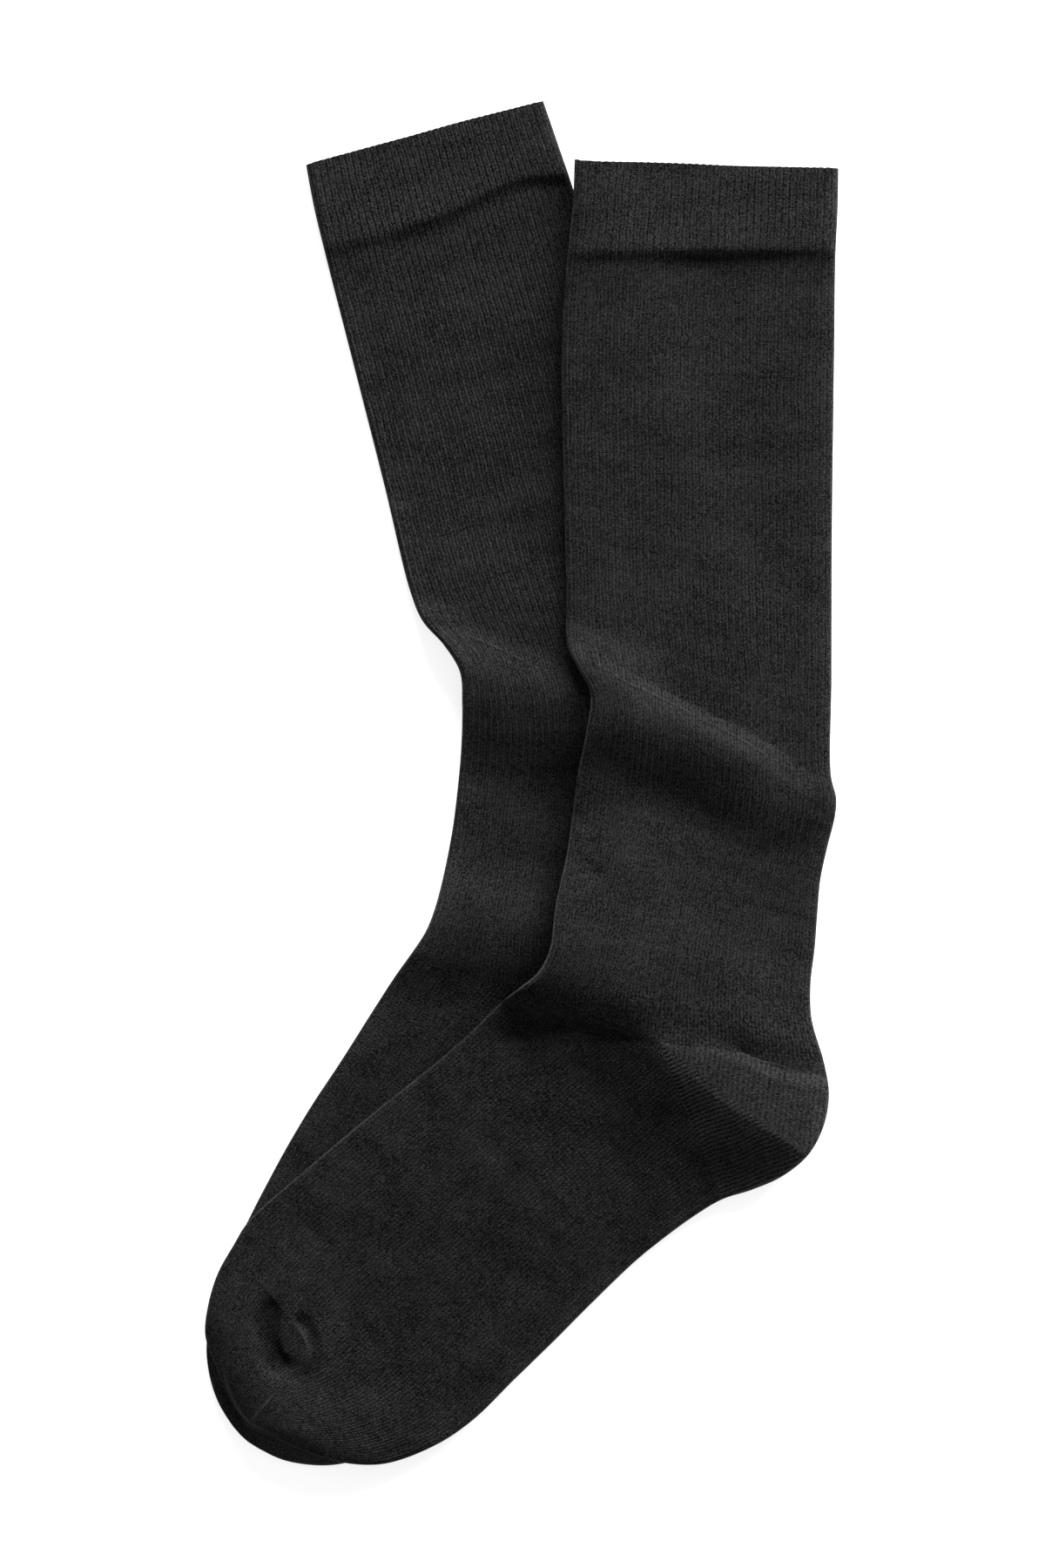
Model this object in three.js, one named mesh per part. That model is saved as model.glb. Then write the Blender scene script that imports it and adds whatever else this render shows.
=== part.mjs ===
// A pair of ribbed knee socks laid flat, one lying across the other. Millimetres, +Z up.
// The origin is under the middle of the pair, and +Y runs up to the cuffs.
// Each sock is a flattened tube: a lower layer of cloth, a narrow gap, and an upper layer.

import * as THREE from 'three';

// Knitted cloth
const clothWall = 1.1;        // leg, heel, foot and toe
const weltWall = 2.0;         // the cuff is turned over and knitted double
const ribCount = 38;          // raised ribs across the face of a flat leg
const ribHeight = 0.4;        // how far a rib stands out of the wall

// Clearances
const layerGap = 0.3;         // between the two layers of a flat sock
const seamGap = 0.3;          // between neighbouring pieces of one sock
const restGap = 0.3;          // between the under sock and the over sock
const heelTip = 2;            // the heel pocket stops this far from its corner at the ankle

// How the cloth lies
const heelShare = 0.47;       // the heel's corner divides the flat width at this share, from the front
const foldShare = 0.6;        // share of a fold's height that lifts the lower layer too
const drapeHold = 4;          // the over sock stays at full height this far past the under sock
const drapeReach = 26;        // and is down on the surface this far past it

// Fineness of the walls
const plainColumns = 16;      // steps across a face without ribs
const insideColumns = 9;      // steps across the plain inside
const undersideColumns = { under: 4, over: 12 };
const edgeSteps = 4;          // steps round a folded edge
const foldPoints = 24;        // points along a fold's line
const drapeDirections = 20;   // places looked at round a point, to see what lies below
const drapeRings = 6;         // and how many times further out
const outlineFineness = 4;    // outline points between two rows

// Where the two edges of the flat sock lie, cuff to toe, a row for each section. The front edge
// runs down the shin and over the instep, the back edge down the calf and round the heel. The
// turn is the point where a bent section changes direction, loft is how far the upper layer
// stands off the lower one, and steps is the number of wall bands down to the next row.
const overRows = [
  { starts: 'cuff', front: [17.8, 213.9], back: [108.8, 211.8], loft: 0.4, steps: 2 },
  { front: [17.2, 198], back: [108.5, 197], loft: 0.5, steps: 2 },
  { starts: 'leg', front: [15.4, 181.5], back: [107.8, 182.4], loft: 0.5, steps: 1 },
  { front: [13.5, 150], back: [107.4, 151], loft: 0.8, steps: 2 },
  { front: [14.4, 96], back: [106.6, 88], loft: 0.8, steps: 1 },
  { front: [15.1, 66], back: [106.4, 36], loft: 0.8, steps: 1 },
  { front: [15.5, 47], back: [106.2, 3], loft: 0.5, steps: 1 },
  { front: [18.6, 40.4], back: [108, -5], loft: 0.5, steps: 1 },
  { front: [23.2, 31.6], back: [107.6, -11], loft: 0.6, steps: 2 },
  { front: [21.4, 15], back: [104.8, -22.5], loft: 0.6, steps: 1 },
  { front: [18.9, 3], back: [102.6, -33], loft: 0.8, steps: 1 },
  { front: [15.6, -22], back: [101.6, -44], loft: 0.8, steps: 1 },
  { front: [11.3, -42], back: [100.7, -56], loft: 0.8, steps: 1 },
  { front: [9.2, -57], back: [99.2, -69], loft: 0.8, steps: 1 },
  { front: [5.2, -64.6], back: [99.6, -81], loft: 0.6, steps: 2 },
  { starts: 'heel', front: [-1.2, -70], turn: [46.5, -88.5], back: [103.9, -96], loft: 0.6, steps: 1 },
  { front: [-1.2, -70], turn: [46.5, -88.5], back: [105.5, -106.5], loft: 0.8, steps: 1 },
  { front: [-1.2, -70], turn: [46.5, -88.5], back: [103.8, -117], loft: 1, steps: 1 },
  { front: [-1.2, -70], turn: [46.5, -88.5], back: [98.6, -127], loft: 1, steps: 1 },
  { front: [-1.2, -70], turn: [46.5, -88.5], back: [89.5, -134.8], loft: 1, steps: 1 },
  { front: [-1.2, -70], turn: [46.5, -88.5], back: [79, -139.6], loft: 1, steps: 1 },
  { starts: 'foot', front: [-1.2, -70], turn: [46.5, -88.5], back: [68.6, -143], loft: 1, steps: 1 },
  { front: [-7.4, -75], turn: [36, -99], back: [58.6, -149], loft: 1, steps: 1 },
  { front: [-17, -84.6], turn: [24, -109.5], back: [46.4, -158], loft: 1.2, steps: 1 },
  { front: [-30, -96], back: [38.6, -164.4], loft: 1.2, steps: 1 },
  { front: [-48, -110.4], back: [24, -178.4], loft: 1.2, steps: 1 },
  { front: [-66, -125.4], back: [11, -191.4], loft: 1.2, steps: 1 },
  { front: [-82, -139], back: [-2.8, -204.8], loft: 1.2, steps: 1 },
  { front: [-94.4, -150.5], back: [-17.4, -219], loft: 1.2, steps: 1 },
  { starts: 'toe', front: [-99.6, -158.8], turn: [-77, -187], back: [-30.4, -227.6], loft: 1.4, steps: 1 },
  { front: [-105, -168.6], back: [-48, -233.8], loft: 1.4, steps: 2 },
  { front: [-108.2, -179.4], back: [-63.6, -233], loft: 1.4, steps: 2 },
  { front: [-109.1, -189.6], back: [-75, -229.4], loft: 1.2, steps: 2 },
  { front: [-105.6, -199.6], back: [-85.6, -224.6], loft: 0.8, steps: 1 },
  { front: [-101.2, -210.4], back: [-93.4, -221.6], loft: 0.3, steps: 1 },
];
const underRows = [
  { starts: 'cuff', front: [-74.6, 213], back: [7.2, 235], loft: 0.4, steps: 2 },
  { front: [-71.6, 197.5], back: [12.2, 220.4], loft: 0.5, steps: 2 },
  { starts: 'leg', front: [-68, 182.6], back: [17.2, 205.8], loft: 0.5, steps: 1 },
  { front: [-58.4, 145.2], back: [27.6, 171.6], loft: 0.6, steps: 1 },
  { front: [-47.4, 102], back: [40.8, 123.6], loft: 0.6, steps: 1 },
  { front: [-38.6, 66], back: [50, 86.4], loft: 0.6, steps: 1 },
  { front: [-34.4, 56], back: [54.6, 66], loft: 0.5, steps: 1 },
  { front: [-27, 47.6], back: [58.2, 49.5], loft: 0.5, steps: 1 },
  { front: [-21.6, 38.5], back: [60.9, 35], loft: 0.5, steps: 1 },
  { front: [-20.8, 27.5], back: [62.7, 22], loft: 0.6, steps: 1 },
  { front: [-21, 15], back: [63.6, 8], loft: 0.6, steps: 1 },
  { front: [-22, 2], back: [63.9, -7], loft: 0.6, steps: 1 },
  { front: [-24.6, -18.3], back: [62.6, -27], loft: 0.6, steps: 1 },
  { front: [-29.6, -40.8], back: [62.6, -49.5], loft: 0.6, steps: 1 },
  { front: [-33.2, -50.4], back: [65.4, -64], loft: 0.6, steps: 1 },
  { starts: 'heel', front: [-37.8, -57.6], turn: [15, -74.4], back: [72.4, -84.6], loft: 0.6, steps: 1 },
  { front: [-37.8, -57.6], turn: [15, -74.4], back: [74.3, -95], loft: 0.6, steps: 1 },
  { front: [-37.8, -57.6], turn: [15, -74.4], back: [72.6, -105.5], loft: 0.6, steps: 1 },
  { front: [-37.8, -57.6], turn: [15, -74.4], back: [67.2, -115], loft: 0.6, steps: 1 },
  { front: [-37.8, -57.6], turn: [15, -74.4], back: [58.4, -122.4], loft: 0.6, steps: 1 },
  { starts: 'foot', front: [-37.8, -57.6], turn: [15, -74.4], back: [43, -130.6], loft: 0.6, steps: 1 },
  { front: [-43.8, -66], turn: [7.5, -88.5], back: [36.6, -137.4], loft: 0.6, steps: 1 },
  { front: [-51, -77.1], turn: [-3, -103.5], back: [30, -143.6], loft: 0.6, steps: 1 },
  { front: [-62, -94.5], back: [20.4, -153.6], loft: 0.6, steps: 1 },
  { front: [-74.2, -113.1], back: [9, -169], loft: 0.6, steps: 1 },
  { front: [-85.4, -132.6], back: [-2.4, -187], loft: 0.6, steps: 1 },
  { starts: 'toe', front: [-99, -160], back: [-20, -211], loft: 0.6, steps: 1 },
  { front: [-103.6, -174], back: [-36, -222.8], loft: 0.6, steps: 1 },
  { front: [-108.6, -190.4], back: [-51, -230.6], loft: 0.6, steps: 1 },
  { front: [-108.2, -201.6], back: [-66, -234.5], loft: 0.6, steps: 1 },
  { front: [-105, -212.4], back: [-81.4, -233], loft: 0.5, steps: 1 },
  { front: [-99.8, -221], back: [-90.4, -229], loft: 0.3, steps: 1 },
];

// Folds and creases of the upper layer. A fold is a curved line with a slope on its cuff side and
// one on its toe side, whose widths are listed from the line's start to its end. Its height fades
// over a share of the line at each end. A crease has a negative height.
const shinLine = [
  [10, 42.5], [18, 39], [29, 32.5], [43, 25], [59.5, 16.5], [79, 6], [93, -5.5], [101, -18], [104, -32],
];
const heelLine = [[12, -92], [30, -93], [46, -89], [57, -95], [70, -106.5], [86, -118.5], [104, -131]];
const underShinLine = [[-36, 46], [-16, 36], [8, 30.5], [34, 25]];
const overFolds = [
  { where: 'shin', line: shinLine, height: 4.6,
    cuffSide: [10, 10, 10, 12, 24], toeSide: [34, 32, 28, 24, 22], fade: [0.22, 0.3] },
  { where: 'above the shin', line: shinLine, height: 3,
    cuffSide: [80, 80], toeSide: [34, 32, 28, 24, 22], fade: [0.22, 0.3] },
  { where: 'ankle', line: [[-6, -57], [4, -58], [22, -62.5], [40, -68.5], [54, -76]], height: 5,
    cuffSide: [30, 26], toeSide: [18, 21, 19], fade: [0, 0.6] },
  { where: 'heel gore', line: heelLine.slice(2), height: 4,
    cuffSide: [16, 24], toeSide: [26, 22], fade: [0.35, 0] },
  { where: 'over the heel', line: heelLine, height: 4,
    cuffSide: [5, 36, 55, 60], toeSide: [40, 50, 40, 24], fade: [0.5, 0] },
  { where: 'corner of the heel', line: [[24, -90], [36, -92], [47, -91], [58, -96]], height: 3,
    cuffSide: [22, 22], toeSide: [44, 52, 44], fade: [0.5, 0.5] },
  { where: 'above the heel', line: [[68, -88.6], [87, -91], [105, -95.6]], height: -0.8,
    cuffSide: [6, 6], toeSide: [4, 4], fade: [0.4, 0] },
  { where: 'toe seam', line: [[-82, -180], [-76, -189], [-76, -199]], height: 1.4,
    cuffSide: [5, 5], toeSide: [5, 5], fade: [0.4, 0.4] },
];
const underFolds = [
  { where: 'shin', line: underShinLine, height: 4.4,
    cuffSide: [20, 13], toeSide: [34, 38], fade: [0, 0.1] },
  { where: 'above the shin', line: underShinLine, height: 2.4,
    cuffSide: [60, 60], toeSide: [34, 38], fade: [0, 0.1] },
  { where: 'ankle', line: [[-38, -48], [-12, -51], [16, -57]], height: 4.6,
    cuffSide: [30, 26], toeSide: [30, 26], fade: [0, 0.3] },
];

const knitColour = 0x2b2b2d;

// Turns 0..1 into a soft step
function softStep(share) {
  const s = THREE.MathUtils.clamp(share, 0, 1);
  return s * s * (3 - 2 * s);
}

// A row's edge or turn as a point of the plan
function planPoint([x, y]) {
  return new THREE.Vector3(x, y, 0);
}

// Finds the nearest point of a bent line: how far off it is, on which side, and how far along
function nearestOnLine(points, x, y) {
  const found = { distance: Infinity, share: 0, side: 1 };
  for (let i = 0; i + 1 < points.length; i += 1) {
    const [a, b] = [points[i], points[i + 1]];
    const [alongX, alongY] = [b.x - a.x, b.y - a.y];
    const reach = ((x - a.x) * alongX + (y - a.y) * alongY) / (alongX ** 2 + alongY ** 2);
    const t = THREE.MathUtils.clamp(reach, 0, 1);
    const distance = Math.hypot(x - a.x - t * alongX, y - a.y - t * alongY);
    if (distance < found.distance) {
      found.distance = distance;
      found.share = (i + t) / (points.length - 1);
      found.side = Math.sign(alongX * (y - a.y) - alongY * (x - a.x)) || 1;
    }
  }
  return found;
}

// A width out of a list of them, at a share of the way from the first to the last
function widthAt(widths, share) {
  const place = share * (widths.length - 1);
  const step = Math.min(Math.floor(place), widths.length - 2);
  return THREE.MathUtils.lerp(widths[step], widths[step + 1], place - step);
}

// The lift of the cloth by all folds of one sock at a point of the plan
function foldLift(folds, x, y) {
  let lift = 0;
  for (const fold of folds) {
    const near = nearestOnLine(fold.points, x, y);
    const width = widthAt(near.side > 0 ? fold.cuffSide : fold.toeSide, near.share);
    const slope = Math.max(0, 1 - (near.distance / width) ** 2) ** 2;
    const [fadeIn, fadeOut] = fold.fade;
    const start = fadeIn > 0 ? softStep(near.share / fadeIn) : 1;
    const end = fadeOut > 0 ? softStep((1 - near.share) / fadeOut) : 1;
    lift += fold.height * slope * start * end;
  }
  return lift;
}

// Gathers what is needed to find any section of one sock
function laySock(rows, folds, name, base) {
  const curve = (points) => new THREE.CatmullRomCurve3(points, false, 'centripetal');
  for (const fold of folds) {
    fold.points = curve(fold.line.map(planPoint)).getPoints(foldPoints);
  }
  const fronts = rows.map((row) => planPoint(row.front));
  const backs = rows.map((row) => planPoint(row.back));
  const turns = rows.map((row, i) =>
    row.turn ? planPoint(row.turn) : fronts[i].clone().lerp(backs[i], heelShare));
  return {
    name, rows, folds, base,
    front: curve(fronts),
    turn: curve(turns),
    back: curve(backs),
  };
}

// One section of a sock: its line across the plan, and the height of its layers at any point.
// shift moves the line along the sock, so that neighbouring pieces stay apart at a seam.
function sectionAt(sock, place, wall, shift = 0) {
  const share = place / (sock.rows.length - 1);
  const [front, turn, back] = [sock.front, sock.turn, sock.back].map((edge) => edge.getPoint(share));
  const firstLength = front.distanceTo(turn);
  const width = firstLength + turn.distanceTo(back);
  const row = Math.min(Math.floor(place), sock.rows.length - 2);
  const loft = THREE.MathUtils.lerp(sock.rows[row].loft, sock.rows[row + 1].loft, place - row);

  function planAt(along) {
    const [from, to] = along < firstLength ? [front, turn] : [turn, back];
    const step = to.clone().sub(from).normalize();
    const past = along < firstLength ? along : along - firstLength;
    const ahead = new THREE.Vector3(step.y, -step.x, 0).multiplyScalar(shift);
    return from.clone().addScaledVector(step, past).add(ahead);
  }

  function layersAt(along) {
    const point = planAt(along);
    const across = (2 * along) / width - 1;
    const folds = foldLift(sock.folds, point.x, point.y);
    const rise = Math.max(0, loft * (1 - across ** 4) + folds);
    const floor = sock.base(point.x, point.y) + foldShare * Math.max(0, folds);
    return {
      point,
      lowerOutside: floor,
      lowerInside: floor + wall,
      upperInside: floor + wall + layerGap + rise - foldShare * Math.max(0, folds),
      upperOutside: floor + 2 * wall + layerGap + rise - foldShare * Math.max(0, folds),
    };
  }
  return { width, wall, firstLength, layersAt };
}

// A vertex with its height, and its place round the section from 0 at the front edge over the
// upper layer to 1 at the front edge again
function vertex(point, height, round) {
  return { position: [point.x, point.y, height], round };
}

// The outside of a section: upper face with or without ribs, folded back edge, underside and
// folded front edge. from is where an open section begins, as the heel's does.
function outsideLoop(section, faceSteps, undersideSteps, ribbed, from = 0) {
  const { width, wall, layersAt } = section;
  const bend = wall + layerGap / 2;
  const open = from > 0;
  const first = open ? from : bend;
  const last = width - bend;
  const loop = [];
  const edge = (atFront, startAngle) => {
    for (let i = 1; i < edgeSteps; i += 1) {
      const angle = startAngle + (Math.PI * i) / edgeSteps * (atFront ? 1 : -1);
      const along = bend * (1 - Math.cos(angle));
      const layers = layersAt(atFront ? along : width - along);
      const middle = (layers.upperOutside + layers.lowerOutside) / 2;
      const reach = (layers.upperOutside - layers.lowerOutside) / 2;
      const share = Math.sign(angle) * along / width / 2;
      loop.push(vertex(layers.point, middle + reach * Math.sin(angle), atFront ? 1 + share : 0.5 - share));
    }
  };
  for (let i = 0; i <= faceSteps; i += 1) {
    const along = THREE.MathUtils.lerp(first, last, i / faceSteps);
    const layers = layersAt(along);
    const rib = ribbed && i % 2 === 1 ? ribHeight : 0;
    loop.push(vertex(layers.point, layers.upperOutside + rib, along / width / 2));
  }
  edge(false, Math.PI / 2);
  for (let i = 0; i <= undersideSteps; i += 1) {
    const along = THREE.MathUtils.lerp(last, first, i / undersideSteps);
    const layers = layersAt(along);
    loop.push(vertex(layers.point, layers.lowerOutside, 1 - along / width / 2));
  }
  if (!open) {
    edge(true, -Math.PI / 2);
  }
  return loop;
}

// The plain inside of a section, in the same order as the outside
function insideLoop(section, steps, from = 0) {
  const { width, wall, layersAt } = section;
  const first = from > 0 ? from : wall;
  const last = width - wall;
  const loop = [];
  for (let i = 0; i <= steps; i += 1) {
    const along = THREE.MathUtils.lerp(first, last, i / steps);
    const layers = layersAt(along);
    loop.push(vertex(layers.point, layers.upperInside, along / width / 2));
  }
  for (let i = 0; i <= steps; i += 1) {
    const along = THREE.MathUtils.lerp(last, first, i / steps);
    const layers = layersAt(along);
    loop.push(vertex(layers.point, layers.lowerInside, 1 - along / width / 2));
  }
  return loop;
}

// Collects the vertices and triangles of one closed wall
class Wall {
  constructor() {
    this.positions = [];
    this.triangles = [];
  }

  // Adds the points of a chain and returns their numbers and places round the section
  chain(points) {
    return points.map(({ position, round }) => {
      this.positions.push(...position);
      return { id: this.positions.length / 3 - 1, round };
    });
  }

  // Fills the strip between two chains, taking the step that is shorter round the section
  strip(near, far) {
    let [i, j] = [0, 0];
    while (i < near.length - 1 || j < far.length - 1) {
      const nextNear = i < near.length - 1 ? near[i + 1].round : Infinity;
      const nextFar = j < far.length - 1 ? far[j + 1].round : Infinity;
      if (nextNear <= nextFar) {
        this.triangles.push(near[i].id, far[j].id, near[i + 1].id);
        i += 1;
      } else {
        this.triangles.push(near[i].id, far[j].id, far[j + 1].id);
        j += 1;
      }
    }
  }

  geometry() {
    const shape = new THREE.BufferGeometry();
    shape.setAttribute('position', new THREE.Float32BufferAttribute(this.positions, 3));
    shape.setIndex(this.triangles);
    shape.computeVertexNormals();
    return shape;
  }
}

// Closes a chain on its own first point
function closed(chain) {
  return [...chain, { id: chain[0].id, round: chain[0].round + 1 }];
}

// The places of a piece's sections, as row numbers with parts of a row between them
function placesOf(rows, firstRow, lastRow) {
  const places = [];
  for (let row = firstRow; row < lastRow; row += 1) {
    for (let i = 0; i < rows[row].steps; i += 1) {
      places.push(row + i / rows[row].steps);
    }
  }
  return [...places, lastRow];
}

// A piece of a flattened tube, open at both ends, or closed at the toe's tip
function tubePiece(sock, firstRow, lastRow, { wall, ribbed, tip = false }) {
  const built = new Wall();
  const faceSteps = ribbed ? 2 * ribCount : plainColumns;
  const undersideSteps = undersideColumns[sock.name];
  const places = placesOf(sock.rows, firstRow, lastRow);
  const outside = [];
  const inside = [];
  for (const place of places) {
    const atStart = place === firstRow && firstRow > 0;
    const atEnd = place === lastRow;
    const seam = (atStart ? seamGap / 2 : 0) - (atEnd && !tip ? seamGap / 2 : 0);
    const outer = sectionAt(sock, place, wall, seam);
    const inner = sectionAt(sock, place, wall, atEnd && tip ? -wall : seam);
    outside.push(closed(built.chain(outsideLoop(outer, faceSteps, undersideSteps, ribbed))));
    inside.push(closed(built.chain(insideLoop(inner, insideColumns))));
  }
  for (let i = 0; i + 1 < places.length; i += 1) {
    built.strip(outside[i], outside[i + 1]);
    built.strip(inside[i + 1], inside[i]);
  }
  built.strip(inside[0], outside[0]);
  const end = places.length - 1;
  if (tip) {
    closeTip(built, outside[end], faceSteps + 1, false);
    closeTip(built, inside[end], insideColumns + 1, true);
  } else {
    built.strip(outside[end], inside[end]);
  }
  return built.geometry();
}

// Fills a section's loop where the tube ends, from its upper face across to the rest of it
function closeTip(built, loop, upperCount, facesBack) {
  const upper = loop.slice(0, upperCount);
  const lower = loop.slice(upperCount, -1).reverse().map(({ id, round }) => ({ id, round: 1 - round }));
  if (facesBack) {
    built.strip(lower, upper);
  } else {
    built.strip(upper, lower);
  }
}

// The heel pocket: a wall bent round the back edge, fanned about the corner at the ankle
function heelPiece(sock, firstRow, lastRow, { wall }) {
  const built = new Wall();
  const places = placesOf(sock.rows, firstRow, lastRow);
  const outside = [];
  const inside = [];
  const faceSteps = Math.round(plainColumns * (1 - heelShare));
  const undersideSteps = Math.ceil(undersideColumns[sock.name] * (1 - heelShare));
  const insideSteps = Math.round(insideColumns * (1 - heelShare));
  for (const place of places) {
    const atStart = place === firstRow ? seamGap / 2 : 0;
    const atEnd = place === lastRow ? seamGap / 2 : 0;
    const section = sectionAt(sock, place, wall, atStart - atEnd);
    const from = section.firstLength + heelTip;
    outside.push(built.chain(outsideLoop(section, faceSteps, undersideSteps, false, from)));
    inside.push(built.chain(insideLoop(section, insideSteps, from)));
  }
  const end = places.length - 1;
  for (let i = 0; i < end; i += 1) {
    built.strip(outside[i], outside[i + 1]);
    built.strip(inside[i + 1], inside[i]);
  }
  built.strip(inside[0], outside[0]);
  built.strip(outside[end], inside[end]);
  const edgeOf = (chains, pick) => chains.map((chain, i) => ({ id: pick(chain).id, round: i }));
  built.strip(edgeOf(outside, (chain) => chain[0]), edgeOf(inside, (chain) => chain[0]));
  built.strip(edgeOf(inside, (chain) => chain.at(-1)), edgeOf(outside, (chain) => chain.at(-1)));
  return built.geometry();
}

// Height of the under sock's upper face, wherever its plan reaches
function topOf(sock) {
  const samples = sock.rows.length * outlineFineness;
  const outline = [
    ...sock.front.getPoints(samples),
    ...sock.back.getPoints(samples).reverse(),
  ];
  const cuffEdge = [planPoint(sock.rows[0].front), planPoint(sock.rows[0].back)];
  const legStart = sock.rows.find((row) => row.starts === 'leg');
  const weltDepth = planPoint(legStart.front).distanceTo(cuffEdge[0]);
  const loft = Math.max(...sock.rows.map((row) => row.loft));

  function covers(x, y) {
    let inside = false;
    for (let i = 0, j = outline.length - 1; i < outline.length; j = i, i += 1) {
      const [a, b] = [outline[i], outline[j]];
      const crosses = a.y > y !== b.y > y;
      if (crosses && x < ((b.x - a.x) * (y - a.y)) / (b.y - a.y) + a.x) {
        inside = !inside;
      }
    }
    return inside;
  }

  return (x, y) => {
    if (!covers(x, y)) {
      return 0;
    }
    const fromCuff = nearestOnLine(cuffEdge, x, y).distance;
    const wall = fromCuff < weltDepth ? weltWall : clothWall;
    return 2 * wall + layerGap + ribHeight + loft + foldLift(sock.folds, x, y);
  };
}

// Lays a second sock over what is below: at full height on it, then sloping down to the surface
function drapeOver(topBelow) {
  const known = new Map();
  return (x, y) => {
    const key = `${x.toFixed(3)},${y.toFixed(3)}`;
    if (!known.has(key)) {
      let base = topBelow(x, y);
      for (let ring = 1; ring <= drapeRings; ring += 1) {
        const radius = (drapeReach * ring) / (drapeRings + 1);
        const hold = 1 - softStep((radius - drapeHold) / (drapeReach - drapeHold));
        for (let i = 0; i < drapeDirections; i += 1) {
          const angle = (2 * Math.PI * i) / drapeDirections;
          const below = topBelow(x + radius * Math.cos(angle), y + radius * Math.sin(angle));
          base = Math.max(base, below * hold);
        }
      }
      known.set(key, base > 0 ? base + restGap * Math.min(1, base) : 0);
    }
    return known.get(key);
  };
}

// All pieces of one sock, cuff to toe
function sockPieces(sock) {
  const starts = (piece) => sock.rows.findIndex((row) => row.starts === piece);
  const [cuff, leg, heel, foot, toe] = ['cuff', 'leg', 'heel', 'foot', 'toe'].map(starts);
  const lastRow = sock.rows.length - 1;
  return {
    cuff: tubePiece(sock, cuff, leg, { wall: weltWall, ribbed: true }),
    leg: tubePiece(sock, leg, heel, { wall: clothWall, ribbed: true }),
    heel: heelPiece(sock, heel, foot, { wall: clothWall }),
    foot: tubePiece(sock, foot, toe, { wall: clothWall, ribbed: false }),
    toe: tubePiece(sock, toe, lastRow, { wall: clothWall, ribbed: false, tip: true }),
  };
}

const pair = new THREE.Group();
pair.name = 'knee_socks';
const underSock = laySock(underRows, underFolds, 'under', () => 0);
const overSock = laySock(overRows, overFolds, 'over', drapeOver(topOf(underSock)));
for (const sock of [underSock, overSock]) {
  for (const [piece, geometry] of Object.entries(sockPieces(sock))) {
    const knit = new THREE.MeshStandardMaterial({ color: knitColour, roughness: 0.95, metalness: 0 });
    const mesh = new THREE.Mesh(geometry, knit);
    mesh.name = `${sock.name}_sock_${piece}`;
    pair.add(mesh);
  }
}

export default pair;
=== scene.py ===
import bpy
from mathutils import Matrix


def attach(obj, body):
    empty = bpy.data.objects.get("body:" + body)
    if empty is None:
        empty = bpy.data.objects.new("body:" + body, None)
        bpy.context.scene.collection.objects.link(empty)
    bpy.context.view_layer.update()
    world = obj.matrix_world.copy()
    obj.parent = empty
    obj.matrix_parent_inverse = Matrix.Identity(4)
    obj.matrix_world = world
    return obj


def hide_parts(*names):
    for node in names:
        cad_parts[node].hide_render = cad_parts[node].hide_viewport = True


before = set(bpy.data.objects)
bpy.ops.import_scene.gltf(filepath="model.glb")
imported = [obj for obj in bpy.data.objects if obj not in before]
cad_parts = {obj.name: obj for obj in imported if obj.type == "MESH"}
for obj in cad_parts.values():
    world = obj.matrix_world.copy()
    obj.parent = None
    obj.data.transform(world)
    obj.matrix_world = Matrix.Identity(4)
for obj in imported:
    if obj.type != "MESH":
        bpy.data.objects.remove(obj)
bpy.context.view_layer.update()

import math
from collections import namedtuple
from functools import partial

import bpy
import numpy as np

print("frame loaded")

mm = 0.001  # the tables below are in millimetres

cloth = {
    "wall": 1.1,            # leg, heel, foot and toe
    "weltWall": 2.0,        # the cuff is turned over and knitted double
    "thinning": ((2, 5), (4, 22)),  # half of the extra goes from 2 above its edge over 5, half from 4 over 22
    "layerGap": 0.3,        # between the two layers of a flat sock
    "restGap": 0.3,         # between the two socks
    "ribs": 38,             # raised ribs across the face of a flat leg
    "wales": 76,            # columns of stitches across the same face
    "course": 0.85,         # height of one row of stitches
    "foldShare": 0.6,       # share of a fold that lifts the lower layer too
    "drapeHold": 4,         # the over sock stays up this far past the under sock
    "drapeReach": 38,       # and is down on the floor this far past it
    "drapeBlur": 6,         # times that its height map is smoothed, in steps of a millimetre
    "broadBlur": 12,        # and the map of the broad folds
    "broadWidth": (40, 50),  # a fold is broad if its toe side or all of its cuff side is wider than this
    "seamDip": 1.1,         # depth of the soft groove below the cuff
    "seamPlace": 1,         # how far below the cuff it is deepest
    "seamSides": (2, 11),   # its width above and below that
    "seamLean": 0.08,       # how far it is deeper on the bowed side
    "seamPatchy": 0.25,     # how uneven it is
    "bowPlace": 0.62,       # where the cuff's lower edge is bowed, from -1 to 1 across the face
    "bowWidth": 0.45,
    "paintedEdgeHighlight": 0.4,       # painted highlight: the free edge is lighter by this share
    "edgeReach": 4.5,
}

# Where the edges of the flat socks lie, cuff to toe. turn is where a bent section changes
# direction, and loft is how far the upper layer stands off the lower one.
Row = namedtuple("Row", "front back loft turn starts", defaults=(None, ""))
heelShare = 0.47            # the heel's corner divides the flat width here, from the front

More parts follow.
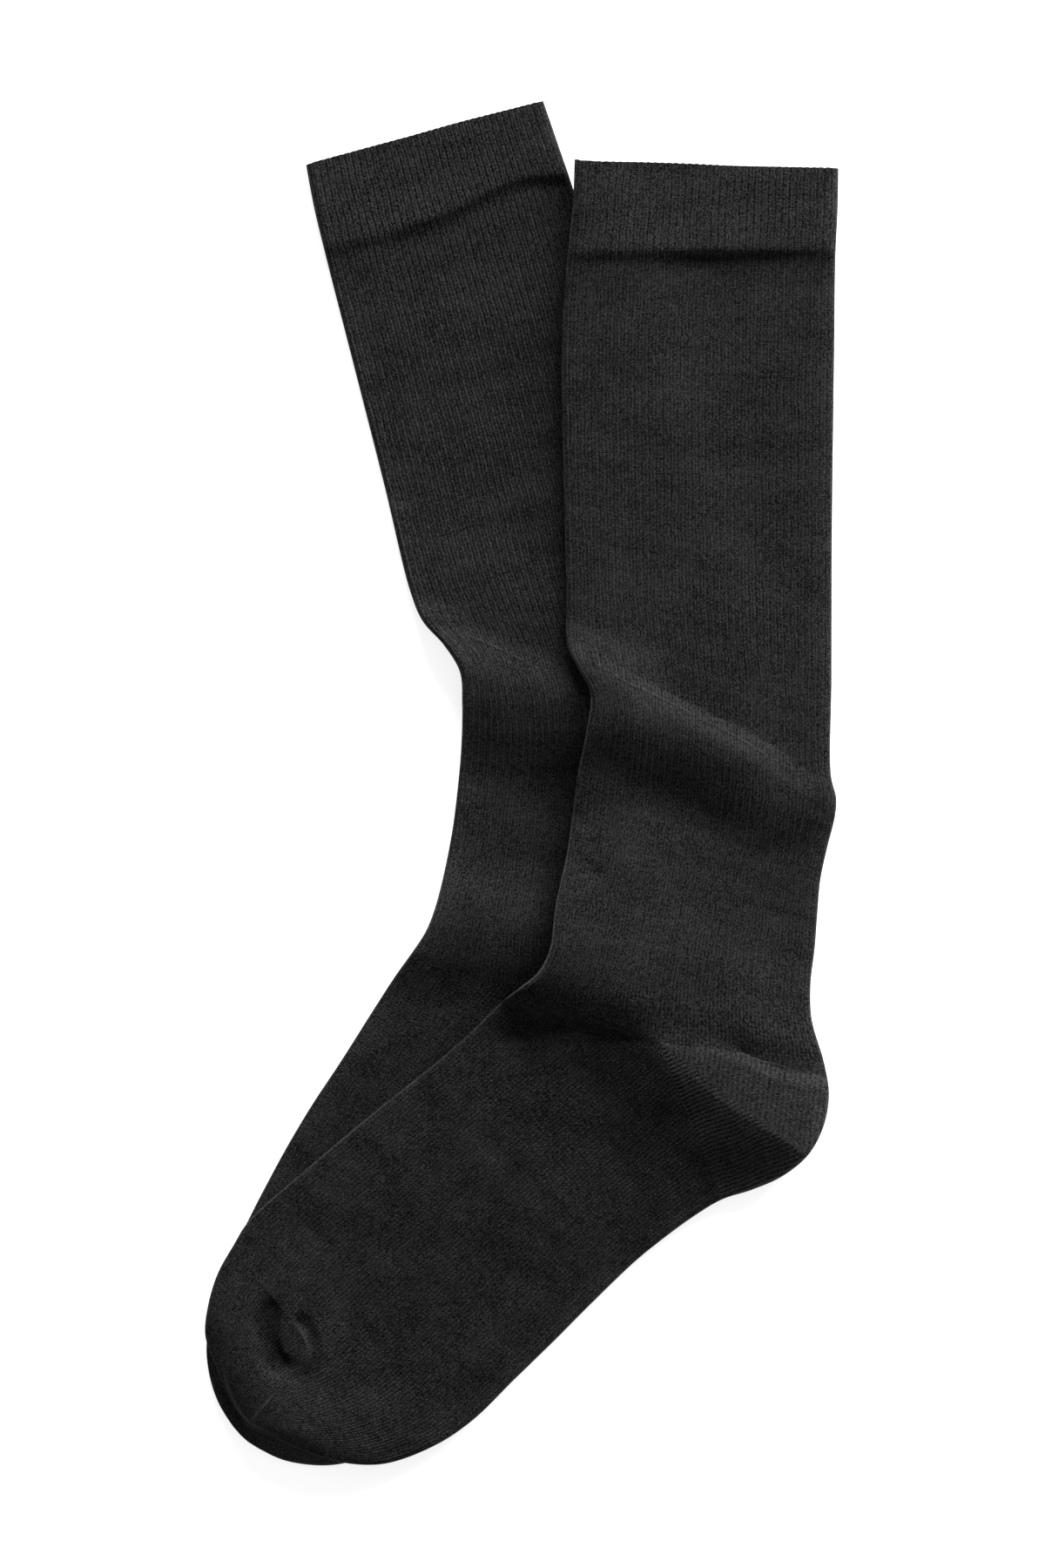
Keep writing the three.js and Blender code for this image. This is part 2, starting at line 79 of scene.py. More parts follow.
overCorner = (46.5, -88.5)
overRows = [
    Row((17.8, 213.9), (108.8, 211.8), 0.4, starts="cuff"),
    Row((17.2, 198), (108.5, 197), 0.5),
    Row((15.4, 181.5), (107.8, 182.4), 0.5, starts="leg"),
    Row((13.5, 150), (107.4, 151), 0.8),
    Row((14.4, 96), (106.6, 88), 0.8),
    Row((15.1, 66), (106.4, 36), 0.8),
    Row((15.5, 47), (106.2, 3), 0.5),
    Row((18.6, 40.4), (108, -5), 0.5),
    Row((23.2, 31.6), (107.6, -11), 0.6),
    Row((21.4, 15), (104.8, -22.5), 0.6),
    Row((18.9, 3), (102.6, -33), 0.8),
    Row((15.6, -22), (101.6, -44), 0.8),
    Row((11.3, -42), (100.7, -56), 0.8),
    Row((9.2, -57), (99.2, -69), 0.8),
    Row((5.2, -64.6), (99.6, -81), 0.6),
    Row((-1.2, -70), (103.9, -96), 0.6, overCorner, "heel"),
    Row((-1.2, -70), (105.5, -106.5), 0.8, overCorner),
    Row((-1.2, -70), (103.8, -117), 1, overCorner),
    Row((-1.2, -70), (98.6, -127), 1, overCorner),
    Row((-1.2, -70), (89.5, -134.8), 1, overCorner),
    Row((-1.2, -70), (79, -139.6), 1, overCorner),
    Row((-1.2, -70), (68.6, -143), 1, overCorner, "foot"),
    Row((-7.4, -75), (58.6, -149), 1, (36, -99)),
    Row((-17, -84.6), (46.4, -158), 1.2, (24, -109.5)),
    Row((-30, -96), (38.6, -164.4), 1.2),
    Row((-48, -110.4), (24, -178.4), 1.2),
    Row((-66, -125.4), (11, -191.4), 1.2),
    Row((-82, -139), (-2.8, -204.8), 1.2),
    Row((-94.4, -150.5), (-17.4, -219), 1.2),
    Row((-99.6, -158.8), (-30.4, -227.6), 1.4, (-77.4, -187.2), "toe"),
    Row((-105, -168.6), (-48, -233.8), 1.4),
    Row((-108.2, -179.4), (-63.6, -233), 1.4),
    Row((-109.1, -189.6), (-75, -229.4), 1.2),
    Row((-105.6, -199.6), (-85.6, -224.6), 0.8),
    Row((-102, -208.6), (-92.6, -222), 0.3),
    Row((-99.2, -214.4), (-95.6, -220.2), 0.1),
]
underCorner = (15, -74.4)
underBow = 5.5  # the lower edge of its cuff is bowed by this much
underRows = [
    Row((-74.6, 213), (7.2, 235), 0.4, starts="cuff"),
    Row((-71.6, 197.5), (12.2, 220.4), 0.5),
    Row((-68, 182.6), (17.2, 205.8), 0.5, starts="leg"),
    Row((-58.4, 145.2), (27.6, 171.6), 0.6),
    Row((-47.4, 102), (40.8, 123.6), 0.6),
    Row((-38.6, 66), (50, 86.4), 0.6),
    Row((-34.4, 56), (54.6, 66), 0.5),
    Row((-27, 47.6), (58.2, 49.5), 0.5),
    Row((-21.6, 38.5), (60.9, 35), 0.5),
    Row((-20.8, 27.5), (62.7, 22), 0.6),
    Row((-21, 15), (63.6, 8), 0.6),
    Row((-22, 2), (63.9, -7), 0.6),
    Row((-24.6, -18.3), (62.6, -27), 0.6),
    Row((-29.6, -40.8), (62.6, -49.5), 0.6),
    Row((-33.2, -50.4), (65.4, -64), 0.6),
    Row((-37.8, -57.6), (72.4, -84.6), 0.6, underCorner, "heel"),
    Row((-37.8, -57.6), (74.3, -95), 0.6, underCorner),
    Row((-37.8, -57.6), (72.6, -105.5), 0.6, underCorner),
    Row((-37.8, -57.6), (67.2, -115), 0.6, underCorner),
    Row((-37.8, -57.6), (58.4, -122.4), 0.6, underCorner),
    Row((-37.8, -57.6), (43, -130.6), 0.6, underCorner, "foot"),
    Row((-43.8, -66), (36.6, -137.4), 0.6, (7.5, -88.5)),
    Row((-51, -77.1), (30, -143.6), 0.6, (-3, -103.5)),
    Row((-62, -94.5), (20.4, -153.6), 0.6),
    Row((-74.2, -113.1), (9, -169), 0.6),
    Row((-85.4, -132.6), (-2.4, -187), 0.6),
    Row((-99, -160), (-20, -211), 0.6, starts="toe"),
    Row((-103.6, -174), (-36, -222.8), 0.6),
    Row((-108.6, -190.4), (-51, -230.6), 0.6),
    Row((-108.2, -201.6), (-66, -234.5), 0.6),
    Row((-105, -212.4), (-81.4, -233), 0.5),
    Row((-99.8, -221), (-90.4, -229), 0.3),
    Row((-97.4, -223.8), (-94, -226.8), 0.1),
]

# Folds (positive) and creases (negative). Each is a curved line with a slope on its cuff side and
# one on its toe side, whose widths are listed from its start to its end, and it fades over a share
# of the line at each end. A slope is soft, or creased where it meets the flat cloth, or
# rounded with a steep foot, or a tent that peaks on the line.
Fold = namedtuple(
    "Fold", "line height cuffSide toeSide fade cuffShape toeShape", defaults=((0, 0), "soft", "soft"),
)
shinLine = [
    (10, 42.5), (18, 39), (29, 32.5), (43, 25), (59.5, 16.5), (79, 6), (93, -5), (99.5, -12), (103, -24),
]
heelLine = [(12, -92), (30, -93), (46, -89.5), (57, -99), (68, -108.5), (86, -120), (104, -131)]
puckerLine = [(-84, -174), (-86.6, -182.6), (-87.6, -190.6), (-85, -198), (-78, -202)]
overFolds = [
    # below the knee the leg sinks, and a fold stands over it with a sharp crease above
    Fold(shinLine, 6, (9.5, 9, 9, 11, 26), (31, 30, 27, 28, 28), (0.55, 0.55), "creased"),
    Fold(shinLine, 2.8, (90, 80), (36, 34, 31, 31, 30), (0.9, 0.2)),
    Fold([(10, -6), (16, -9.5), (24, -14)], -0.8, (3, 3), (2.5, 2.5), (0.4, 0.4)),
    Fold([(17, -25), (24, -29.5), (32, -35)], -0.8, (3, 3), (3, 3), (0.4, 0.4)),
    Fold([(-73, -127), (-64, -125), (-55, -127)], -0.8, (6, 6), (7, 7), (0.4, 0.4)),
    # the ankle, whose steep side runs into the heel's gore
    Fold([(-6, -59), (4, -59), (13, -60), (24, -63.4), (35, -68.5), (46, -74.5), (56, -81)], 7.4,
         (74, 70, 62), (16, 20.5, 20.5, 19, 17, 15, 13), (0, 0.35), toeShape="rounded"),
    Fold(heelLine[2:], 4.6, (60, 20), (20, 24, 22), (0.45, 0), "tent", "tent"),
    Fold(heelLine, 3, (5, 60, 60, 50), (36, 48, 42, 24), (0.5, 0)),
    Fold([(-4, -80), (16, -84), (36, -90), (54, -98), (70, -110)], 4,
         (80, 80), (30, 46, 50, 46), (0.4, 0.4), toeShape="tent"),
    Fold([(56, -86), (69.6, -90), (80.7, -94.5), (91, -98.3), (106, -100)], -2.8,
         (7, 12), (3.5, 4.5), (0.4, 0), "tent", "tent"),
    # the toe stands up round its linked end, which is puckered
    Fold([(-103.5, -168), (-102, -186), (-95, -206), (-79, -219), (-56, -227), (-34, -224)], 2,
         (20, 16, 24), (16, 13), (0.25, 0.35)),
    Fold(puckerLine, -3.6, (4.6, 4.8, 4.6), (6.5, 7.5), (0.4, 0.25)),
    Fold([(-79.6, -182.6), (-76, -185.6), (-73, -191), (-72.4, -198)], -2, (4, 4.5), (1.8, 2), (0.3, 0.35)),
]
underFolds = [
    Fold([(-36, 46), (-16, 36), (8, 30.5), (34, 25)], 5.2, (20, 13), (32, 36), (0, 0.1)),
    Fold([(-36, 46), (-16, 36), (8, 30.5), (34, 25)], 2, (60, 60), (34, 38), (0, 0.1)),
    Fold([(-38, -48), (-12, -51), (16, -57)], 4.8, (30, 26), (30, 26), (0, 0.3)),
]

# Thin crisp creases in the surface: half a width, a height and a share that fades at each end
Crease = namedtuple("Crease", "line width height fade")
overCreases = [
    Crease([(15, 48), (20, 44.6), (28.8, 39.2), (35, 35.2), (43.2, 31.4), (52, 27.2), (59.4, 23.2), (72, 17),
            (86.1, 8.4), (96, 3.2), (107, -1.6)], 0.7, 0.8, 0.3),
    Crease([(58, -87.6), (69.6, -90.4), (80.7, -94.8), (90.9, -97.8), (95.4, -100.8), (106, -99.4)],
           0.6, 0.7, 0.3),
    Crease([(-97, -223), (-90, -215), (-82.5, -206.4)], 0.7, 1.8, 0.4),
    Crease([(-104, -196), (-102.2, -204), (-99.6, -211.4), (-94.6, -218.8), (-87, -222.6), (-78, -225.8)],
           0.8, 2.4, 0.3),
    Crease([(-79, -186), (-76, -189), (-74.3, -193), (-74, -198.4)], 0.8, 0.7, 0.45),
    Crease([(-8, -74), (3, -76.4), (12, -79.8), (30, -84.6), (46, -89.6)], 1.8, -0.6, 0.3),
]
underCreases = [
    Crease([(-28, 54.6), (-18, 50.6), (-9.3, 47), (4, 40.2), (10, 37)], 0.8, 0.8, 0.5),
    Crease([(-33, 54), (-27, 48.4), (-22, 41), (-19.6, 33)], 0.8, 1.3, 0.4),
    Crease([(-30, 55), (-24, 49.4), (-18.6, 42), (-16.4, 34)], 0.8, 1.1, 0.4),
    Crease([(-27, 56), (-20, 49.6), (-14, 42), (-12, 36)], 0.8, 0.7, 0.4),
]

# Painted shade and light, kept in each piece's shade attribute: painted shadow beside the sock above, and
# painted shade in hollows, in grooves, in the pucker and down the toe's outer side. A level below zero makes
# the cloth lighter: the foot grows lighter towards the toe, into the toe's paler colour. levels and reach run
# from the line's start to its end, side keeps a shade to one side, and clear is how far from the line it
# takes to set in.
Shade = namedtuple("Shade", "pieces line levels reach power side clear", defaults=(2, 0, 0))
underShades = [
    # painted shadow of the over sock on the under sock's cuff and leg beside its edge
    Shade("cuff leg", [(-6, -76), (9, -57), (11, -42), (16, -20), (20, 14), (15, 60), (13.5, 150),
                       (17.5, 214), (20, 250)],
          (0.4, 0.42, 0.38, 0.36, 0.3, 0.28, 0.4, 0.2, 0), (12, 14, 22), 1.3, 1),
    # painted shadow of the over sock's foot on the under sock's foot beside it
    Shade("foot", [(-84, -140), (-48, -110), (-17, -85), (-1, -70)], (0, 0.2, 0.3, 0.4), (8, 10), 1.3, 1),
]
overShades = [
    # painted shade low on the leg
    Shade("leg", [(24, -20), (52, -30), (90, -42)], (0.1, 0.16, 0.1), (17, 17)),
    # painted shade in the groove below the cuff
    Shade("leg", [(15, 178), (108, 179)], (0.1, 0.22, 0.22, 0.1), (8, 8)),
    # painted shade in the hollow below the ankle and the heel's corner, on the toe side of its line
    Shade("heel foot", [(-6, -75), (20, -82), (34, -86), (46, -89.5), (57, -99), (70, -109.5), (86, -120),
                        (104, -131)],
          (0.2, 0.3, 0.45, 0.45, 0.3, 0.2, 0.1), (10, 22, 36, 38, 34, 28, 20), side=-1, clear=6),
    Shade("foot", [(-99.6, -158.8), (-77.4, -187.2), (-30.4, -227.6)], (-0.25, -0.25), (18, 18)),
    # painted shade along the pucker's groove
    Shade("toe", [(-83, -168), (-86, -178), (-86.6, -188), (-83.4, -196), (-75, -200)],
          (0.1, 0.5, 0.55, 0.5, 0.3), (2.4, 3.4, 3.2, 2.6)),
    # painted shade down the toe's outer side
    Shade("toe", [(-103, -160), (-108, -172), (-111, -186), (-109, -200), (-105, -208)],
          (0, 0.2, 0.4, 0.35, 0.1), (7, 9)),
    # painted shade in the groove beside the pucker's rim
    Shade("toe", [(-77, -183), (-74, -187), (-71, -192), (-71, -198), (-74, -202.6)],
          (0.2, 0.3, 0.1, 0.5, 0.2), (2.4, 3)),
]
shadeOverlap = 2  # a shade kept to one side still reaches this far past its line
paintedToeLight = {"light": 0.6, "more": 1.2, "moreFrom": -102, "moreOver": 22}  # painted light on the under sock's toe, which lies in the over sock's shadow, and more so to the right

shapes = {
    "soft": lambda t: (1 - t ** 2) ** 2,
    "creased": lambda t: np.cos(t * math.pi / 2),
    "rounded": lambda t: (1 - t ** 2) ** 0.7,
    "tent": lambda t: (1 - t) ** 1.25,
}


def softStep(share):
    s = np.clip(share, 0, 1)
    return s * s * (3 - 2 * s)


# Distance from a polyline, the side (left of its run is the cuff side) and the share along it
def nearestOnLine(points, x, y):
    best = np.full(x.shape, np.inf)
    side = np.ones(x.shape)
    share = np.zeros(x.shape)
    for i in range(len(points) - 1):
        ax, ay = points[i]
        ux, uy = points[i + 1] - points[i]
        t = np.clip(((x - ax) * ux + (y - ay) * uy) / (ux * ux + uy * uy), 0, 1)
        gap = np.hypot(x - ax - t * ux, y - ay - t * uy)
        closer = gap < best
        best = np.where(closer, gap, best)
        side = np.where(closer, np.sign(ux * (y - ay) - uy * (x - ax)), side)
        share = np.where(closer, (i + t) / (len(points) - 1), share)
    return best, side, share


def foldLift(sock, x, y):
    return sampleMap(sock["broadMap"], x, y) + liftOf(sock["sharpFolds"], x, y)


def liftOf(folds, x, y):
    lift = np.zeros(x.shape)
    for f in folds:
        points = edgeCurve(f.line, np.linspace(0, len(f.line) - 1, 33))
        reach = max(f.cuffSide + f.toeSide)
        low, high = points.min(0) - reach, points.max(0) + reach
        near = (x > low[0]) & (x < high[0]) & (y > low[1]) & (y < high[1])
        if not near.any():
            continue
        gap, side, share = nearestOnLine(points, x[near], y[near])
        cuffSide, toeSide = (
            np.interp(share, np.linspace(0, 1, len(widths)), widths) for widths in (f.cuffSide, f.toeSide)
        )
        cuffPart = shapes[f.cuffShape](np.clip(gap / cuffSide, 0, 1))
        toePart = shapes[f.toeShape](np.clip(gap / toeSide, 0, 1))
        start = softStep(share / f.fade[0]) if f.fade[0] else 1
        end = softStep((1 - share) / f.fade[1]) if f.fade[1] else 1
        lift[near] += f.height * np.where(side > 0, cuffPart, toePart) * start * end
    return lift


# Gentle unevenness of the cloth: a few waves that cross at odd angles
def ripples(x, y, wavelength, seed, count=7):
    rng = np.random.default_rng(seed)
    total = np.zeros(x.shape)
    for _ in range(count):
        angle, phase = rng.uniform(0, 2 * math.pi, 2)
        k = 2 * math.pi / (wavelength * rng.uniform(0.7, 1.5))
        total += np.sin(k * (x * math.cos(angle) + y * math.sin(angle)) + phase)
    return total / math.sqrt(count)


# A centripetal curve through the rows' points, read at row numbers with parts of a row
def edgeCurve(points, places):
    points = np.array(points, float)
    last = len(points) - 1
    padded = np.vstack([2 * points[0] - points[1], points, 2 * points[-1] - points[-2]])
    i = np.minimum(np.floor(places).astype(int), last - 1)
    t = (places - i)[:, None]
    p0, p1, p2, p3 = (padded[i + k] for k in range(4))
    d0, d1, d2 = (np.sqrt(np.linalg.norm(b - a, axis=1))[:, None] for a, b in ((p0, p1), (p1, p2), (p2, p3)))
    d1 = np.where(d1 < 1e-2, 1, d1)
    d0 = np.where(d0 < 1e-2, d1, d0)
    d2 = np.where(d2 < 1e-2, d1, d2)
    t1 = ((p1 - p0) / d0 - (p2 - p0) / (d0 + d1) + (p2 - p1) / d1) * d1
    t2 = ((p2 - p1) / d1 - (p3 - p1) / (d1 + d2) + (p3 - p2) / d2) * d1
    return p1 + t1 * t + (3 * (p2 - p1) - 2 * t1 - t2) * t ** 2 + (2 * (p1 - p2) + t1 + t2) * t ** 3


# The ribs keep to straight lines where the edge of the leg makes a short bend, so they are counted
# between smoothed edges, given here as x for each millimetre of y
def straightEdge(points, last):
    curve = edgeCurve(points, np.linspace(0, last, 400))[::-1]
    y = mapGrid()[1][0]
    x = np.interp(y, curve[:, 1], curve[:, 0])
    lean = (curve[-1, 0] - curve[-80, 0]) / (curve[-1, 1] - curve[-80, 1])
    x += np.maximum(y - curve[-1, 1], 0) * lean
    blur = 14
    reach = 3 * blur
    kernel = np.exp(-(np.arange(-reach, reach + 1) / blur) ** 2 / 2)
    return np.convolve(np.pad(x, reach, "reflect", reflect_type="odd"), kernel / kernel.sum(), "valid")


def laySock(name, rows, folds, creases, shades, corner, bow, baseMap=None):
    fronts = [row.front for row in rows]
    backs = [row.back for row in rows]
    turns = [
        row.turn or tuple(f + (b - f) * heelShare for f, b in zip(row.front, row.back))
        for row in rows
    ]
    starts = {row.starts: i for i, row in enumerate(rows) if row.starts}
    starts["end"] = len(rows) - 1
    toeLimit, cuffLimit = cloth["broadWidth"]
    broad = [
        f for f in folds
        if max(f.toeSide) > toeLimit or (min(f.cuffSide) > cuffLimit and f.toeShape == "soft")
    ]
    return {
        "name": name, "fronts": fronts, "turns": turns, "backs": backs,
        "broadMap": blurred(liftOf(broad, *mapGrid()), cloth["broadBlur"]),
        "sharpFolds": [f for f in folds if f not in broad],
        "lofts": np.array([row.loft for row in rows]), "starts": starts,
        "baseMap": baseMap, "corner": np.array(corner, float), "seam": np.array([float(starts["leg"])]),
        "creases": creases, "shades": shades, "bow": bow,
        "straightEdges": [straightEdge(side, starts["heel"]) for side in (fronts, backs)],
    }


# The doubled cuff thins out over a few millimetres, and more slowly below them
def wallAt(fromSeam):
    thick = 1
    for above, over in cloth["thinning"]:
        thick = thick - 0.5 * softStep((fromSeam + above) / over)
    return cloth["wall"] + (cloth["weltWall"] - cloth["wall"]) * thick


# Heights of everything along chosen distances across some sections of a sock
class Sections:
    def __init__(self, sock, places):
        self.sock, self.places = sock, places
        self.front = edgeCurve(sock["fronts"], places)
        self.turn = edgeCurve(sock["turns"], places)
        self.back = edgeCurve(sock["backs"], places)
        self.first = np.linalg.norm(self.turn - self.front, axis=1)
        self.width = self.first + np.linalg.norm(self.back - self.turn, axis=1)
        self.loft = np.interp(places, np.arange(len(sock["lofts"])), sock["lofts"])
        seam = (edgeCurve(sock["fronts"], sock["seam"]) + edgeCurve(sock["backs"], sock["seam"])) / 2
        past = np.linalg.norm((self.front + self.back) / 2 - seam, axis=1)
        past = np.where(places < sock["seam"][0], -past, past)
        self.wall = wallAt(past)
        self.past = past[:, None]
        flat = self.wall + cloth["layerGap"] / 2
        self.bendFront = self.bendBack = flat
        for name, along in (("bendFront", flat * 2), ("bendBack", self.width - flat * 2)):
            parts = self.layers(np.clip(np.broadcast_to(along, self.width.shape), 0, self.width)[:, None])
            reach = (parts["top"] - parts["bottom"])[:, 0] / 2
            setattr(self, name, np.minimum(flat + (reach - flat) * 0.6, self.width * 0.49))

    def plan(self, along):
        first, width = self.first[:, None], self.width[:, None]
        early = along < first
        a = along / np.maximum(first, 1e-6)
        b = (along - first) / np.maximum(width - first, 1e-6)
        share = np.where(early, a, b)[..., None]
        start = np.where(early[..., None], self.front[:, None], self.turn[:, None])
        end = np.where(early[..., None], self.turn[:, None], self.back[:, None])
        return start + (end - start) * share

    def layers(self, along):
        xy = self.plan(along)
        x, y = xy[..., 0], xy[..., 1]
        across = 2 * along / self.width[:, None] - 1
        folds = foldLift(self.sock, x, y)
        lift = cloth["foldShare"] * np.maximum(folds, 0)
        rise = np.maximum(0, self.loft[:, None] * (1 - across ** 4) + folds)
        base = sampleMap(self.sock["baseMap"], x, y)
        # where the cuff's lower edge is bowed, the upper layer thins out along that bow
        bow = self.sock["bow"] * np.exp(-((across - cloth["bowPlace"]) / cloth["bowWidth"]) ** 2)
        fromSeam = self.past + bow
        wall = wallAt(fromSeam)
        narrow = np.minimum(1, self.width[:, None] / (4 * wall))
        bottom = base + lift
        top = bottom + (2 * wall + cloth["layerGap"] + rise - lift) * narrow
        # a groove below the cuff, steep above and gentle below
        below = fromSeam - cloth["seamPlace"]
        groove = np.exp(-(below / np.where(below < 0, *cloth["seamSides"])) ** 2)
        strength = np.maximum(1.1 - (across - cloth["seamLean"] * self.sock["bow"]) ** 2, 0.15)
        top = top - cloth["seamDip"] * groove * strength * (1 + cloth["seamPatchy"] * ripples(x, y, 30, 9))
        return {"xy": xy, "bottom": bottom, "top": top, "across": across}


# Height maps in steps of one millimetre
mapBox = {"low": (-140.0, -260.0), "size": (280, 520)}


def mapGrid():
    steps = [np.arange(size) + low for size, low in zip(mapBox["size"], mapBox["low"])]
    return np.meshgrid(*steps, indexing="ij")


def blurred(heights, times):
    for _ in range(times):
        for axis in (0, 1):
            heights = (np.roll(heights, 1, axis) + heights + np.roll(heights, -1, axis)) / 3
    return heights


def sampleMap(heights, x, y):
    if heights is None:
        return np.zeros(x.shape)
    gx = np.clip(x - mapBox["low"][0], 0, mapBox["size"][0] - 2)
    gy = np.clip(y - mapBox["low"][1], 0, mapBox["size"][1] - 2)
    i, j = gx.astype(int), gy.astype(int)
    fx, fy = gx - i, gy - j
    near = heights[i, j] * (1 - fx) + heights[i + 1, j] * fx
    far = heights[i, j + 1] * (1 - fx) + heights[i + 1, j + 1] * fx
    return near * (1 - fy) + far * fy


# What the over sock lies on: the top of the under sock, let down to the floor past its edge
def drapeOver(sock):
    x, y = mapGrid()
    places = np.linspace(0, sock["starts"]["end"], 160)
    outline = np.vstack([edgeCurve(sock["fronts"], places), edgeCurve(sock["backs"], places)[::-1]])
    inside = np.zeros(x.shape, bool)
    for (ax, ay), (bx, by) in zip(outline, np.roll(outline, 1, axis=0)):
        crosses = (ay > y) != (by > y)
        slope = (bx - ax) / (by - ay) if by != ay else 0
        inside ^= crosses & (x < slope * (y - ay) + ax)
    cuffEdge = np.array([sock["fronts"][0], sock["backs"][0]])
    weltDepth = np.linalg.norm(np.subtract(sock["fronts"][sock["starts"]["leg"]], sock["fronts"][0]))
    fromCuff = nearestOnLine(cuffEdge, x, y)[0]
    wall = np.where(fromCuff < weltDepth, cloth["weltWall"], cloth["wall"])
    top = 2 * wall + cloth["layerGap"] + knit["ribHeight"] + sock["lofts"].max()
    top = (top + foldLift(sock, x, y) + cloth["restGap"]) * inside
    reach = int(cloth["drapeReach"])
    draped = top.copy()
    for dx in range(-reach, reach + 1, 2):
        for dy in range(-reach, reach + 1, 2):
            radius = math.hypot(dx, dy)
            if 0 < radius < reach:
                hold = 1 - softStep((radius - cloth["drapeHold"]) / (reach - cloth["drapeHold"]))
                draped = np.maximum(draped, np.roll(top, (dx, dy), (0, 1)) * hold)
    return np.maximum(blurred(draped, cloth["drapeBlur"]), (top - cloth["restGap"] / 2) * inside)


# How fine the shells are, and how the knit stands out of them
knit = {
    "ribHeight": 0.2,
    "ribPoints": 6,          # mesh columns to one rib
    "facePoints": 130,       # mesh columns across a face without ribs
    "underPoints": 26,       # across the plain underside
    "bendPoints": 9,         # round a folded edge
    "insidePoints": 24,
    "rowStep": {"cuff": 0.9, "leg": 1.5, "heel": 0.9, "foot": 1.2, "toe": 0.6},
    "ripple": 0.16,          # unevenness of the cloth
    "heelWale": 1.8,         # the heel's columns are stretched above the gore
    "soleWale": 1.45,        # and less so below it
    "heelCount": 40,         # number of the column at the heel's corner
    "wander": 0.16,          # how far a rib strays, in ribs
    "patchy": 0.18,          # how unevenly the ribs stand out
    "scallop": 0.6,          # how far at most the ribs stand past the turned edge
}


def ribProfile(phase):
    wave = 0.5 - 0.5 * np.cos(2 * math.pi * phase)
    return wave ** 0.75


# Rib height share at each section: full on cuff and leg, dying out into the heel
def ribStrength(sock, places, piece):
    if piece in ("cuff", "leg"):
        heel = sock["starts"]["heel"]
        return 1 - 0.6 * softStep((places - heel + 2) / 2) - 0.4 * softStep((places - heel + 0.4) / 0.4)
    return np.zeros(len(places))


def waleCount(sock, ribbed, along, width, x, y):
    share = along / width
    if ribbed:
        front, back = (np.interp(y, mapGrid()[1][0], side) for side in sock["straightEdges"])
        straight = (x - front) / (back - front)
        fromEdge = np.minimum(along, width - along)
        share = straight + (share - straight) * np.exp(-(np.maximum(fromEdge - 3, 0) / 9) ** 2)
    return cloth["wales"] * share


def creaseMap(creases, x, y):
    place, height = np.full(x.shape, 6.0), np.zeros(x.shape)
    for crease in creases:
        points = edgeCurve(crease.line, np.linspace(0, len(crease.line) - 1, 49))
        gap, side, share = nearestOnLine(points, x, y)
        closer = gap / crease.width < np.minimum(np.abs(place), 6)
        fading = softStep(share / crease.fade) * softStep((1 - share) / crease.fade)
        place = np.where(closer, side * gap / crease.width, place)
        height = np.where(closer, crease.height * fading, height)
    return place, height


def shadeOf(sock, piece, x, y):
    shade = np.zeros(x.shape)
    # painted light on the under sock's toe, more so to the right
    if piece == "toe" and sock["name"] == "under":
        rightward = softStep((x - paintedToeLight["moreFrom"]) / paintedToeLight["moreOver"])
        shade -= paintedToeLight["light"] + paintedToeLight["more"] * rightward
    for s in sock["shades"]:
        if piece not in s.pieces.split():
            continue
        gap, at, share = nearestOnLine(np.array(s.line, float), x, y)
        level = np.interp(share, np.linspace(0, 1, len(s.levels)), s.levels)
        reach = np.interp(share, np.linspace(0, 1, len(s.reach)), s.reach)
        if s.clear:
            level = level * softStep(gap / s.clear)
        inside = (at * s.side >= 0) | (gap < shadeOverlap)
        shade += np.where(inside, level, 0) * np.exp(-(gap / reach) ** s.power)
    return shade


